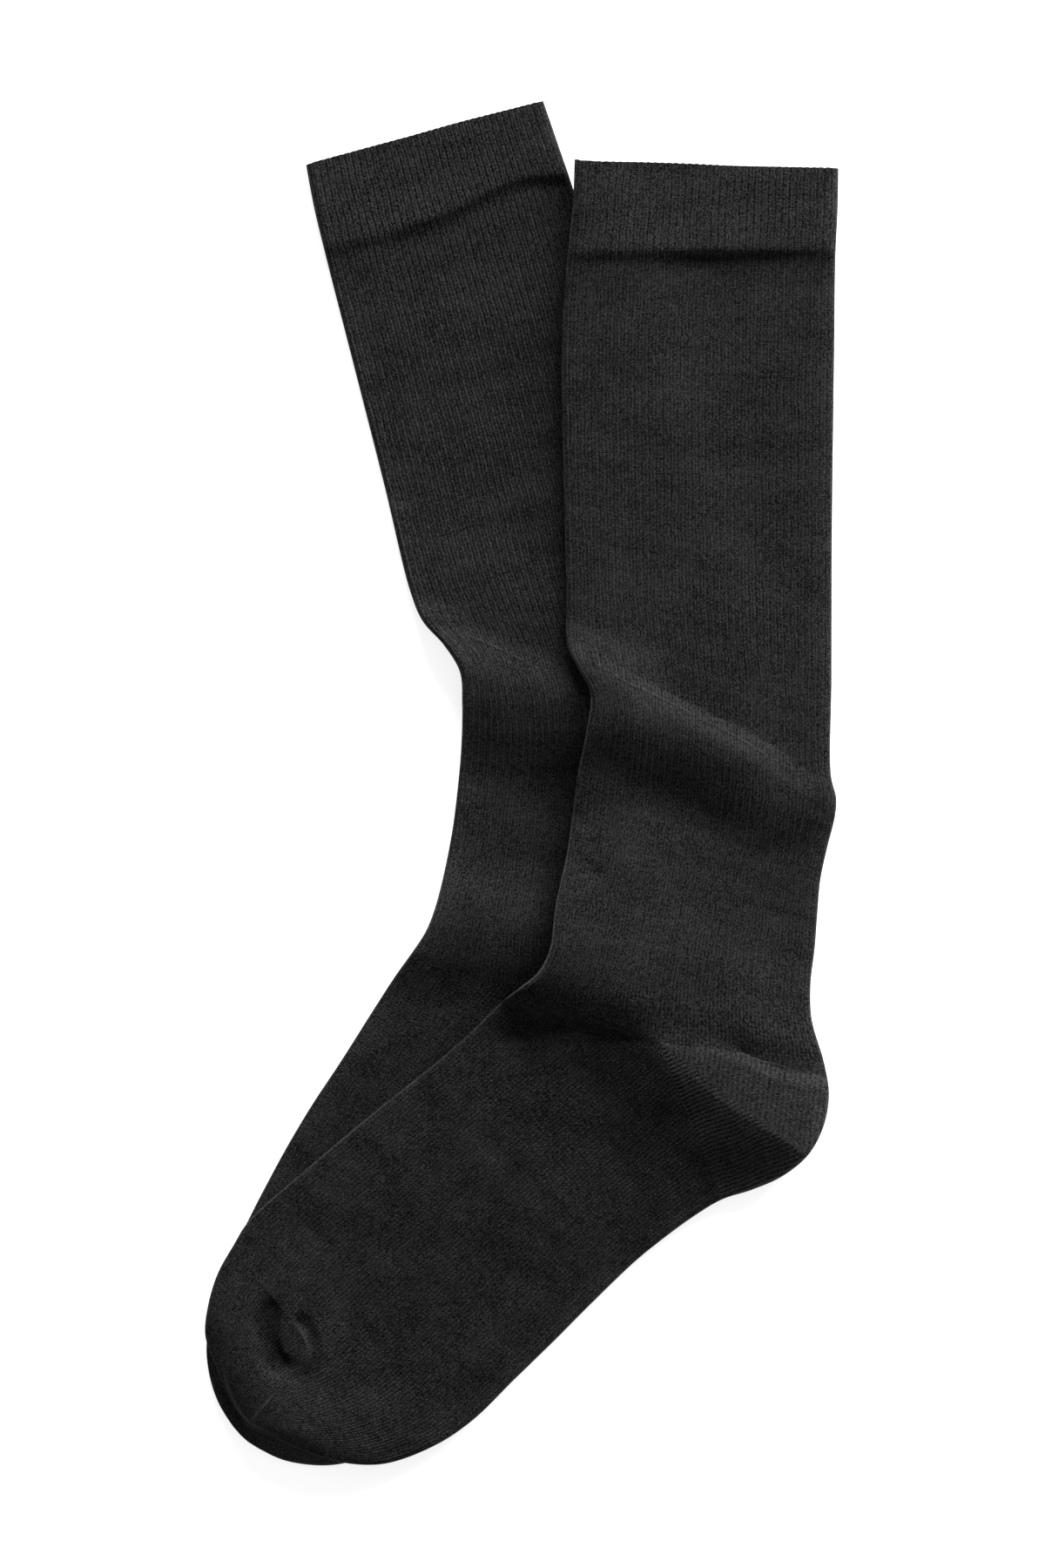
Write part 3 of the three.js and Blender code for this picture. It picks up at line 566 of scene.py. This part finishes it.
def outsideLoops(sections, piece, ribbed, openFrom=None):
    sock, places = sections.sock, sections.places
    faceCount = cloth["ribs"] * knit["ribPoints"] if ribbed else knit["facePoints"]
    underCount = knit["underPoints"]
    if openFrom is not None:
        faceCount, underCount = faceCount // 2, underCount // 2
    width = sections.width[:, None]
    low = openFrom[:, None] if openFrom is not None else sections.bendFront[:, None]
    high = width - sections.bendBack[:, None]
    share = np.linspace(0, 1, faceCount + 1)[None]
    along = low + (high - low) * share
    layers = sections.layers(along)
    x, y = layers["xy"][..., 0], layers["xy"][..., 1]
    calm = (1 - np.abs(layers["across"]) ** 6) * np.minimum(1, sections.width / 30)[:, None]
    seed = 3 if sock["name"] == "over" else 5
    uneven = knit["ripple"] * (ripples(x * 0.5, y, 30, seed) + 0.45 * ripples(x * 0.4, y, 11, seed + 1))
    top = layers["top"] + calm * uneven
    wales = waleCount(sock, ribbed, along, width, x, y)
    if ribbed:
        wander = knit["wander"] * ripples(x * 0.2, y, 60, seed + 2)
        fading = ribStrength(sock, places, piece)[:, None]
        patchy = 1 + knit["patchy"] * ripples(x, y, 22, seed + 3)
        ribs = ribProfile(wales / 2 + wander * (1 - layers["across"] ** 2))
        top = top + knit["ribHeight"] * fading * patchy * ribs
    parts = [np.dstack([layers["xy"], top])]
    rounds = [along / width / 2]
    arc = np.arange(1, knit["bendPoints"]) / knit["bendPoints"] * math.pi

    def edge(atFront, angle):
        bend = (sections.bendFront if atFront else sections.bendBack)[:, None]
        inset = bend * (1 - np.cos(angle))[None]
        at = inset if atFront else width - inset
        ends = sections.layers(at)
        middle = (ends["top"] + ends["bottom"]) / 2
        reach = (ends["top"] - ends["bottom"]) / 2
        parts.append(np.dstack([ends["xy"], middle + reach * np.sin(angle)[None]]))
        signed = np.sign(angle)[None] * inset / width / 2
        rounds.append(1 + signed if atFront else 0.5 - signed)

    edge(False, math.pi / 2 - arc)
    along = high + (low - high) * np.linspace(0, 1, underCount + 1)[None]
    layers = sections.layers(along)
    parts.append(np.dstack([layers["xy"], layers["bottom"]]))
    rounds.append(1 - along / width / 2)
    if openFrom is None:
        edge(True, -math.pi / 2 + arc)
    rounds = np.concatenate(rounds, 1)
    wales = np.concatenate([wales, 2 * cloth["wales"] * rounds[:, wales.shape[1]:]], 1)
    return np.concatenate(parts, 1), rounds, wales


def insideLoops(sections, openFrom=None):
    width = sections.width[:, None]
    wall = sections.wall[:, None]
    share = np.linspace(0, 1, knit["insidePoints"] + 1)[None]
    low = openFrom[:, None] if openFrom is not None else np.minimum(wall, width * 0.45)
    high = width - np.minimum(wall, width * 0.45)
    parts, rounds = [], []
    for along, face in ((low + (high - low) * share, "top"), (high + (low - high) * share, "bottom")):
        layers = sections.layers(along)
        thin = np.minimum(wall, (layers["top"] - layers["bottom"]) * 0.42)
        height = layers["top"] - thin if face == "top" else layers["bottom"] + thin
        parts.append(np.dstack([layers["xy"], height]))
        rounds.append(along / width / 2 if face == "top" else 1 - along / width / 2)
    return np.concatenate(parts, 1), np.concatenate(rounds, 1)


# Triangles between two chains of vertices, always taking the shorter step round the section
def zipChains(near, nearRound, far, farRound):
    faces = []
    i = j = 0
    while i < len(near) - 1 or j < len(far) - 1:
        nextNear = nearRound[i + 1] if i < len(near) - 1 else math.inf
        nextFar = farRound[j + 1] if j < len(far) - 1 else math.inf
        if nextNear <= nextFar:
            faces.append((near[i], far[j], near[i + 1]))
            i += 1
        else:
            faces.append((near[i], far[j], far[j + 1]))
            j += 1
    return faces


def skinFaces(first, rows, columns, isClosed, inward):
    faces = []
    last = columns if isClosed else columns - 1
    for r in range(rows - 1):
        for c in range(last):
            d = (c + 1) % columns
            a, b = first + r * columns + c, first + r * columns + d
            quad = (a, a + columns, b + columns, b)
            faces.append(quad[::-1] if inward else quad)
    return faces


def ringOf(first, row, columns, rounds, isClosed):
    ids = [first + row * columns + c for c in range(columns)]
    places = list(rounds[row])
    if isClosed:
        ids.append(ids[0])
        places.append(places[0] + 1)
    return ids, places


def cellPlaces(sock, piece, following):
    start, end = sock["starts"][piece], sock["starts"][following]
    probe = np.linspace(start, end, 200)
    backs = edgeCurve(sock["backs"], probe)
    fronts = edgeCurve(sock["fronts"], probe)
    middle = backs if piece == "heel" else (fronts + backs) / 2
    travel = np.concatenate([[0], np.cumsum(np.linalg.norm(np.diff(middle, axis=0), axis=1))])
    # rows stand closer round the shin fold
    if piece == "leg":
        dense = 1 + 1.6 * softStep((probe - 5.3) / 0.5) * (1 - softStep((probe - 8.2) / 0.8))
        travel = np.concatenate([[0], np.cumsum(np.diff(travel) * (dense[1:] + dense[:-1]) / 2)])
    count = max(8, round(travel[-1] / knit["rowStep"][piece]))
    return np.interp(np.linspace(0, travel[-1], count + 1), travel, probe)


# Wale and course numbers for every vertex of a piece's outside
def stitchMap(sock, piece, sections, outside, rounds, wales):
    if piece != "heel":
        middle = (sections.front + sections.back) / 2
        travel = np.concatenate([[0], np.cumsum(np.linalg.norm(np.diff(middle, axis=0), axis=1))])
        courses = np.repeat((travel / cloth["course"])[:, None], outside.shape[1], 1)
        return np.dstack([wales, courses])
    # the pocket's columns run on from the leg down to the gore line, and from there to the sole
    corner = sock["corner"]
    arms = [sections.back[0] - corner, sections.back[-1] - corner]
    arms = [arm / np.linalg.norm(arm) for arm in arms]
    gore = arms[0] + arms[1]
    offset = outside[..., :2] - corner
    legSide = gore[0] * offset[..., 1] - gore[1] * offset[..., 0] > 0
    along = np.where(legSide, offset @ arms[0], offset @ arms[1])
    off = np.where(
        legSide,
        np.abs(arms[0][0] * offset[..., 1] - arms[0][1] * offset[..., 0]),
        -np.abs(arms[1][0] * offset[..., 1] - arms[1][1] * offset[..., 0]),
    )
    side = np.where(rounds > 0.5, 2 * cloth["wales"], 0)
    number = np.where(legSide, along / knit["heelWale"], along / knit["soleWale"]) + knit["heelCount"]
    return np.dstack([np.abs(side - number), off / cloth["course"]])


# A UV layer from values at the vertices. Round a whole tube the count of columns starts again
# somewhere, and there the last one goes on counting.
def layCoords(data, name, values, isRound):
    corners = np.zeros(len(data.loops), int)
    data.loops.foreach_get("vertex_index", corners)
    uv = values[corners]
    if isRound:
        starts = np.zeros(len(data.polygons), int)
        totals = np.zeros(len(data.polygons), int)
        data.polygons.foreach_get("loop_start", starts)
        data.polygons.foreach_get("loop_total", totals)
        high = np.maximum.reduceat(uv[:, 0], starts)
        wrap = np.repeat(high, totals) - uv[:, 0] > cloth["wales"]
        uv[wrap, 0] += 2 * cloth["wales"]
    data.uv_layers.new(name=name).uv.foreach_set("vector", uv.astype(np.float32).ravel())


def sharpen(data, ends):
    pairs = np.zeros(2 * len(data.edges), int)
    data.edges.foreach_get("vertices", pairs)
    sharp = np.zeros(len(data.edges), bool)
    for ids in ends:
        isEnd = np.zeros(len(data.vertices), bool)
        isEnd[ids] = True
        sharp |= isEnd[pairs].reshape(-1, 2).all(1)
    data.attributes.new("sharp_edge", "BOOLEAN", "EDGE").data.foreach_set("value", sharp)


def buildPiece(sock, piece, following, ribbed):
    tip, mouth = piece == "toe", piece == "cuff"
    places = cellPlaces(sock, piece, following)
    sections = Sections(sock, places)
    openFrom = sections.first + 0.05 if piece == "heel" else None
    isClosed = openFrom is None
    outside, outRounds, outWales = outsideLoops(sections, piece, ribbed, openFrom)
    inside, inRounds = insideLoops(sections, openFrom)
    if mouth:
        # the turned edge is scalloped by the ribs, and rounds over into the tube
        along = np.clip(outRounds[:1], 0, 0.5) * 2 * sections.width[:1, None]
        crest = outside[0, :, 2] - sections.layers(along)["top"][0]
        ahead = outside[0] - outside[1]
        ahead /= np.linalg.norm(ahead, axis=1)[:, None]
        outside[0, :, :2] += (ahead * np.clip(crest, 0, knit["scallop"])[:, None])[:, :2]
    rows, outCount, inCount = len(places), outside.shape[1], inside.shape[1]
    verts = [outside.reshape(-1, 3), inside.reshape(-1, 3)]
    insideFirst = rows * outCount
    faces = skinFaces(0, rows, outCount, isClosed, False)
    faces += skinFaces(insideFirst, rows, inCount, isClosed, True)
    outStart = ringOf(0, 0, outCount, outRounds, isClosed)
    outEnd = ringOf(0, rows - 1, outCount, outRounds, isClosed)
    inStart = ringOf(insideFirst, 0, inCount, inRounds, isClosed)
    inEnd = ringOf(insideFirst, rows - 1, inCount, inRounds, isClosed)
    faces += zipChains(*inStart, *outStart)
    if tip:
        for ring, skin, flip in ((outEnd[0], outside, False), (inEnd[0], inside, True)):
            centre = sum(len(v) for v in verts)
            verts.append(skin[-1].mean(0)[None])
            for a, b in zip(ring, ring[1:]):
                faces.append((b, centre, a) if flip else (a, centre, b))
    else:
        faces += zipChains(*outEnd, *inEnd)
    if not isClosed:
        steps = list(range(rows))
        for column, flip in ((0, False), (-1, True)):
            out = [r * outCount + column % outCount for r in steps]
            into = [insideFirst + r * inCount + column % inCount for r in steps]
            near, far = (into, out) if flip else (out, into)
            faces += zipChains(near, steps, far, steps)
    verts = np.vstack(verts)
    data = bpy.data.meshes.new(f"{sock['name']}{piece.capitalize()}")
    data.from_pydata((verts * mm).tolist(), [], faces)
    data.polygons.foreach_set("use_smooth", [True] * len(data.polygons))

    def onOutside(values):
        whole = np.zeros((len(verts), values.shape[-1]))
        whole[:rows * outCount] = values.reshape(-1, values.shape[-1])
        return whole

    stitches = stitchMap(sock, piece, sections, outside, outRounds, outWales)
    layCoords(data, "knit", onOutside(stitches), isClosed)
    x, y = outside[..., 0], outside[..., 1]
    onFace = outRounds <= 0.5
    place, height = creaseMap(sock["creases"], x, y)
    layCoords(data, "crease", onOutside(np.dstack([place, np.where(onFace, height, 0)])), False)
    # painted shade and light for this piece, stored as its shade attribute
    tone = shadeOf(sock, piece, x, y)
    # painted highlight along the free outer edges: the under sock's front edge and the over sock's back edge,
    # not round the over sock's toe
    fromEdge = (outRounds if sock["name"] == "under" else 0.5 - outRounds) * 2 * sections.width[:, None]
    if sock["name"] == "under" or not tip:
        tone = tone - cloth["paintedEdgeHighlight"] * np.exp(-(fromEdge / cloth["edgeReach"]) ** 2)
    shade = onOutside(np.where(onFace, tone, 0)[..., None]).ravel()
    data.attributes.new("shade", "FLOAT", "POINT").data.foreach_set("value", shade.astype(np.float32))
    # the cut ends are sharp, so that the knit runs on without a line to the next piece
    ends = [outStart[0], inStart[0]] + ([] if tip else [outEnd[0], inEnd[0]])
    if not isClosed:
        for first, columns in ((0, outCount), (insideFirst, inCount)):
            ends += [[first + r * columns + c for r in range(rows)] for c in (0, columns - 1)]
    sharpen(data, ends)
    data.update()
    obj = bpy.data.objects.new(f"{sock['name']}{piece.capitalize()}Knit", data)
    bpy.context.collection.objects.link(obj)
    return obj


# Nodes stand in rows of six in the order in which they are made
def addNode(tree, kind, **values):
    node = tree.nodes.new(kind)
    row, column = divmod(len(tree.nodes) - 1, 6)
    node.location = (220 * column, -260 * row)
    for key, value in values.items():
        setattr(node, key, value)
    return node


def mathNode(tree, operation, a, b=None, c=None):
    node = addNode(tree, "ShaderNodeMath", operation=operation)
    for socket, value in zip(node.inputs, (a, b, c)):
        if value is None:
            continue
        if isinstance(value, (int, float)):
            socket.default_value = value
        else:
            tree.links.new(value, socket)
    return node.outputs[0]


# Noise as a value that is about as often above zero as below
def noise(tree, vector, gain, scale=1, detail=1, rough=0.5, warp=0.0):
    node = addNode(tree, "ShaderNodeTexNoise")
    node.inputs["Scale"].default_value = scale
    node.inputs["Detail"].default_value = detail
    node.inputs["Roughness"].default_value = rough
    node.inputs["Distortion"].default_value = warp
    tree.links.new(vector, node.inputs["Vector"])
    return mathNode(tree, "MULTIPLY", mathNode(tree, "SUBTRACT", node.outputs["Fac"], 0.5), gain)


def stretched(tree, vector, across, along):
    node = addNode(tree, "ShaderNodeVectorMath", operation="MULTIPLY")
    node.inputs[1].default_value = (across, along, 1)
    tree.links.new(vector, node.inputs[0])
    return node.outputs[0]


def splitUp(tree, vector):
    node = addNode(tree, "ShaderNodeSeparateXYZ")
    tree.links.new(vector, node.inputs[0])
    return node.outputs[:2]


def startGroup(name, entryName):
    group = bpy.data.node_groups.new(name, "ShaderNodeTree")
    group.interface.new_socket(entryName, in_out="INPUT", socket_type="NodeSocketVector")
    return group, addNode(group, "NodeGroupInput").outputs[entryName]


def finishGroup(group, results):
    for name in results:
        group.interface.new_socket(name, in_out="OUTPUT", socket_type="NodeSocketFloat")
    leave = addNode(group, "NodeGroupOutput")
    for name, value in results.items():
        group.links.new(value, leave.inputs[name])
    return group


stitch = {
    "sway": 1.2, "slant": -1.5,               # how far columns stray, and how steep the V of a stitch is
    "strand": (0.6, 0.4),                     # share of the V in a loop's height, and of the plain loop
    "lineSharpness": 9.0, "lineGain": 7.0,    # the thin light line, and how often it shows
    "grain": 5.5, "ownTone": 0.9, "streak": 4.0,
    "holeRow": 1.3, "holeWidth": -0.7,        # the row of holes: where it lies and how fast it fades out
    "holeShape": (0.9, 0.3), "holeReach": (-0.1, 6.4),
}


# One column of knitting is a chain of V-shaped stitches. Each stitch has its own tone, and the places where a
# column sinks between its neighbours get painted shade.
def makeStitchGroup():
    group, place = startGroup("knitStitches", "Stitches")
    calc = partial(mathNode, group)
    column, course = splitUp(group, place)
    # the columns wander a little
    wale = calc("ADD", column, noise(group, stretched(group, place, 0.05, 0.08), stitch["sway"]))
    aside = calc("ABSOLUTE", calc("SUBTRACT", calc("FRACT", wale), 0.5))
    slant = calc("MULTIPLY_ADD", aside, stitch["slant"], course)
    strand = calc("MULTIPLY_ADD", calc("SINE", calc("MULTIPLY", slant, 2 * math.pi)), 0.5, 0.5)
    valley = calc("COSINE", calc("MULTIPLY", wale, 2 * math.pi))
    arm = calc("MULTIPLY_ADD", valley, -0.5, 0.5)
    body = calc("MULTIPLY_ADD", strand, *stitch["strand"])
    # a thin line of light runs down the edge of every second column, broken here and there
    peak = calc("MAXIMUM", calc("SINE", calc("MULTIPLY", wale, math.pi)), 0.0)
    shows = noise(group, stretched(group, place, 0.45, 0.18), stitch["lineGain"], detail=2, rough=0.6)
    shows = calc("MAXIMUM", shows, 0.0)
    # uneven yarn, drawn out along the columns, and a tone of its own for every half stitch
    grain = noise(group, stretched(group, place, 2.2, 1.4), stitch["grain"], detail=1.5, rough=0.75)
    cells = addNode(group, "ShaderNodeVectorMath", operation="FLOOR")
    group.links.new(stretched(group, place, 2, 1), cells.inputs[0])
    own = addNode(group, "ShaderNodeTexWhiteNoise", noise_dimensions="2D")
    group.links.new(cells.outputs[0], own.inputs["Vector"])
    own = calc("SUBTRACT", own.outputs["Value"], 0.5)
    # in the heel the course is negative below the gore, where the columns show more through deeper painted
    # shade between them, and a row of small holes runs along it from the corner
    below = calc("LESS_THAN", course, 0.0)
    fromRow = calc("ABSOLUTE", calc("ADD", course, stitch["holeRow"]))
    row = calc("MULTIPLY_ADD", fromRow, stitch["holeWidth"], 1.0)
    gaps = calc("MAXIMUM", calc("MULTIPLY_ADD", valley, *stitch["holeShape"]), 0.0)
    reach = calc("MAXIMUM", calc("MULTIPLY_ADD", column, *stitch["holeReach"]), 0.0)
    holes = calc("MULTIPLY", calc("MAXIMUM", row, 0.0), gaps)
    return finishGroup(group, {
        "Height": calc("MULTIPLY", arm, body),
        "Valley": valley,
        "Rib": calc("COSINE", calc("MULTIPLY", wale, math.pi)),
        "Line": calc("MULTIPLY", calc("POWER", peak, stitch["lineSharpness"]), shows),
        "Grain": calc("MULTIPLY_ADD", own, stitch["ownTone"], grain),
        "Streak": noise(group, stretched(group, place, 0.03, 0.1), stitch["streak"], detail=2),
        "Below": calc("MULTIPLY", valley, below),
        "Hole": calc("MULTIPLY", holes, calc("MINIMUM", reach, 1.0)),
    })


# Spun yarn: fine flecks, paler patches and stray fibres that curl over the surface
def makeYarnGroup():
    group, place = startGroup("yarnHeather", "Place")
    calc = partial(mathNode, group)
    curl = noise(group, place, 22, scale=420, detail=2, warp=1.5)
    return finishGroup(group, {
        "Fleck": noise(group, place, 5, scale=1900, rough=0.7),
        "Patch": noise(group, place, 4, scale=75, detail=3, rough=0.6),
        "Fuzz": calc("MAXIMUM", calc("SUBTRACT", 1.0, calc("ABSOLUTE", curl)), 0.0),
    })


# A thin raised or sunken line: the first number runs across it and the second is its height
def makeCreaseGroup():
    group, place = startGroup("crispCrease", "Place")
    calc = partial(mathNode, group)
    across, height = splitUp(group, place)
    hill = calc("MAXIMUM", calc("SUBTRACT", 1.0, calc("MULTIPLY", across, across)), 0.0)
    return finishGroup(group, {"Crease": calc("MULTIPLY", calc("MULTIPLY", hill, hill), height)})


effects = {"stitches": makeStitchGroup(), "yarn": makeYarnGroup(), "creases": makeCreaseGroup()}
finish = {
    "darkest": 0.12, "lightest": 4,           # limits of the tone, as shares of the yarn's colour
    "relief": 0.0004, "grainRelief": 0.3, "creaseRelief": 1.6,
    "roughness": 0.95, "specular": 0.04, "sheenRoughness": 0.35, "sheenTint": 0.5,
}


def knitMaterial(name, look):
    mat = bpy.data.materials.new(name)
    mat.use_nodes = True
    tree = mat.node_tree
    tree.nodes.clear()
    calc = partial(mathNode, tree)
    out = addNode(tree, "ShaderNodeOutputMaterial")
    shader = addNode(tree, "ShaderNodeBsdfPrincipled")
    tree.links.new(shader.outputs[0], out.inputs[0])
    loops, yarn, creases = (
        addNode(tree, "ShaderNodeGroup", node_tree=effects[key]) for key in ("stitches", "yarn", "creases")
    )
    for uvName, effect in (("knit", loops), ("crease", creases)):
        tree.links.new(addNode(tree, "ShaderNodeUVMap", uv_map=uvName).outputs[0], effect.inputs[0])
    tree.links.new(addNode(tree, "ShaderNodeTexCoord").outputs["Object"], yarn.inputs["Place"])
    # painted shade between the stitches and lighter loops, painted shade in the hollows between the ribs, a
    # painted highlight along raised creases and painted shade along sunken ones, with flecks and stray fibres
    tone = calc("MULTIPLY_ADD", loops.outputs["Height"], look["loop"], 1 - look["loop"] / 3)
    for effect in (loops, yarn, creases):
        for result in effect.outputs:
            share = look.get(result.name.lower())
            if share:
                tone = calc("MULTIPLY_ADD", result, share, tone)
    # the painted shade and light in each piece's shade attribute darken and lighten the tone
    shade = addNode(tree, "ShaderNodeAttribute", attribute_name="shade")
    light = calc("SUBTRACT", 1.0, shade.outputs["Fac"])
    tone = calc("MULTIPLY", calc("MAXIMUM", tone, finish["darkest"]), light)
    colour = addNode(tree, "ShaderNodeMix", data_type="RGBA")
    colour.clamp_factor = True
    tree.links.new(calc("MULTIPLY", tone, 1 / finish["lightest"]), colour.inputs["Factor"])
    colour.inputs["A"].default_value = (0, 0, 0, 1)
    colour.inputs["B"].default_value = (finish["lightest"] * look["grey"],) * 3 + (1,)
    tree.links.new(colour.outputs["Result"], shader.inputs["Base Color"])
    bump = addNode(tree, "ShaderNodeBump")
    bump.inputs["Strength"].default_value = look["bump"]
    bump.inputs["Distance"].default_value = finish["relief"]
    height = calc("MULTIPLY_ADD", loops.outputs["Grain"], finish["grainRelief"], loops.outputs["Height"])
    height = calc("MULTIPLY_ADD", creases.outputs["Crease"], finish["creaseRelief"], height)
    tree.links.new(height, bump.inputs["Height"])
    tree.links.new(bump.outputs[0], shader.inputs["Normal"])
    shader.inputs["Roughness"].default_value = finish["roughness"]
    shader.inputs["Specular IOR Level"].default_value = finish["specular"]
    shader.inputs["Sheen Weight"].default_value = look["sheen"]
    shader.inputs["Sheen Roughness"].default_value = finish["sheenRoughness"]
    shader.inputs["Sheen Tint"].default_value = (finish["sheenTint"],) * 3 + (1,)
    return mat


# The yarn's grey, and how much each effect adds to its tone
ribLook = {
    "grey": 0.0157, "loop": 0.5, "valley": -0.05, "rib": -0.04, "line": 0.4, "grain": 1.0, "streak": 0.3,
    "fleck": 0.5, "patch": 0.2, "fuzz": 0.7, "crease": 0.35, "bump": 0.6, "sheen": 0.3,
}
weltLook = dict(ribLook, grey=0.0176, rib=-0.16, line=0.65, grain=1.2, streak=0.2)
jerseyLook = dict(ribLook, grey=0.012, loop=0.25, valley=-0.02, rib=0, line=0, grain=0.6,
                  fleck=0.8, patch=0.45, fuzz=1.2)
toeLook = dict(jerseyLook, grey=0.015, loop=0.5, valley=-0.08, patch=0.3, crease=0.8, sheen=0.05)
heelLook = dict(ribLook, grey=0.0178, valley=-0.1, rib=0, line=0, grain=0.7, streak=0.08,
                below=-0.3, hole=-1.6)
ribMaterial = knitMaterial("charcoalRib", ribLook)
weltMaterial = knitMaterial("charcoalWelt", weltLook)
jerseyMaterial = knitMaterial("charcoalJersey", jerseyLook)
heelMaterial = knitMaterial("charcoalHeel", heelLook)
toeMaterial = knitMaterial("charcoalToe", toeLook)
print("materials made")

# Each knitted section of a sock: what it is made of, and its flat size all round the tube
sections = {
    "cuff": {"following": "leg", "ribbed": True, "material": weltMaterial, "slot": "cuff_rib",
             "flat": (0.182, 0.031)},
    "leg": {"following": "heel", "ribbed": True, "material": ribMaterial, "slot": "leg_rib",
            "flat": (0.184, 0.27)},
    "heel": {"following": "foot", "ribbed": False, "material": heelMaterial, "slot": "jersey",
             "flat": (0.118, 0.06), "area": {"over": 0.0045, "under": 0.0045}},
    "foot": {"following": "toe", "ribbed": False, "material": jerseyMaterial, "slot": "jersey",
             "flat": (0.205, 0.155)},
    "toe": {"following": "end", "ribbed": False, "material": toeMaterial, "slot": "jersey",
            "flat": (0.19, 0.06), "area": {"over": 0.0056, "under": 0.0076}},
}


def makeSock(sock):
    for piece, facts in sections.items():
        obj = buildPiece(sock, piece, facts["following"], facts["ribbed"])
        obj.data.materials.append(facts["material"])
        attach(obj, "root")
        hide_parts(f"{sock['name']}_sock_{piece}")
        triangles = sum(len(p.vertices) - 2 for p in obj.data.polygons)
        print(obj.name, "triangles", triangles)


underSock = laySock("under", underRows, underFolds, underCreases, underShades, underCorner, underBow)
makeSock(underSock)
print("under sock laid")
overSock = laySock("over", overRows, overFolds, overCreases, overShades, overCorner, 0, drapeOver(underSock))
makeSock(overSock)
print("over sock laid")

# Floor, light and camera
studio = {
    "floorSize": 12, "floorDrop": 0.0002, "floorTone": 0.93, "floorGlow": 0.75, "floorRoughness": 0.9,
    "boxPower": 440, "boxSize": (4.6, 0.9), "boxDistance": 4.0, "boxElevation": 21, "boxAzimuth": 20,
    "fillTone": 0.25, "cameraHeight": 3.0, "frameHeight": 0.54, "sensorHeight": 36,
}


def setStage():
    bpy.ops.mesh.primitive_plane_add(size=studio["floorSize"], location=(0, 0, -studio["floorDrop"]))
    floor = bpy.context.object
    floor.name = "floor"
    bpy.ops.object.transform_apply(location=True, rotation=True, scale=True)
    paper = bpy.data.materials.new("palePaper")
    paper.use_nodes = True
    shader = paper.node_tree.nodes["Principled BSDF"]
    shader.inputs["Base Color"].default_value = (studio["floorTone"],) * 3 + (1,)
    shader.inputs["Roughness"].default_value = studio["floorRoughness"]
    shader.inputs["Emission Color"].default_value = (1, 1, 1, 1)
    shader.inputs["Emission Strength"].default_value = studio["floorGlow"]
    floor.data.materials.append(paper)
    # one wide low softbox beyond the cuffs
    box = bpy.data.lights.new("softbox", "AREA")
    box.shape = "RECTANGLE"
    box.size, box.size_y = studio["boxSize"]
    box.energy = studio["boxPower"]
    key = bpy.data.objects.new("softbox", box)
    tilt, turn = math.radians(90 - studio["boxElevation"]), math.radians(studio["boxAzimuth"])
    away = studio["boxDistance"] * math.sin(tilt)
    key.location = (away * math.sin(turn), away * math.cos(turn), studio["boxDistance"] * math.cos(tilt))
    key.rotation_euler = (-tilt, 0, -turn)
    bpy.context.collection.objects.link(key)
    world = bpy.context.scene.world or bpy.data.worlds.new("studio")
    bpy.context.scene.world = world
    world.use_nodes = True
    world.node_tree.nodes["Background"].inputs[0].default_value = (1, 1, 1, 1)
    world.node_tree.nodes["Background"].inputs[1].default_value = studio["fillTone"]


def setCamera():
    lens = bpy.data.cameras.new("overhead")
    lens.sensor_fit = "VERTICAL"
    lens.sensor_height = studio["sensorHeight"]
    lens.lens = studio["sensorHeight"] * studio["cameraHeight"] / studio["frameHeight"]
    lens.clip_end = 30
    camera = bpy.data.objects.new("overhead", lens)
    camera.location = (0, 0, studio["cameraHeight"])
    bpy.context.collection.objects.link(camera)
    bpy.context.scene.camera = camera
    bpy.context.scene.view_settings.view_transform = "Standard"


setStage()
setCamera()
print("stage set")
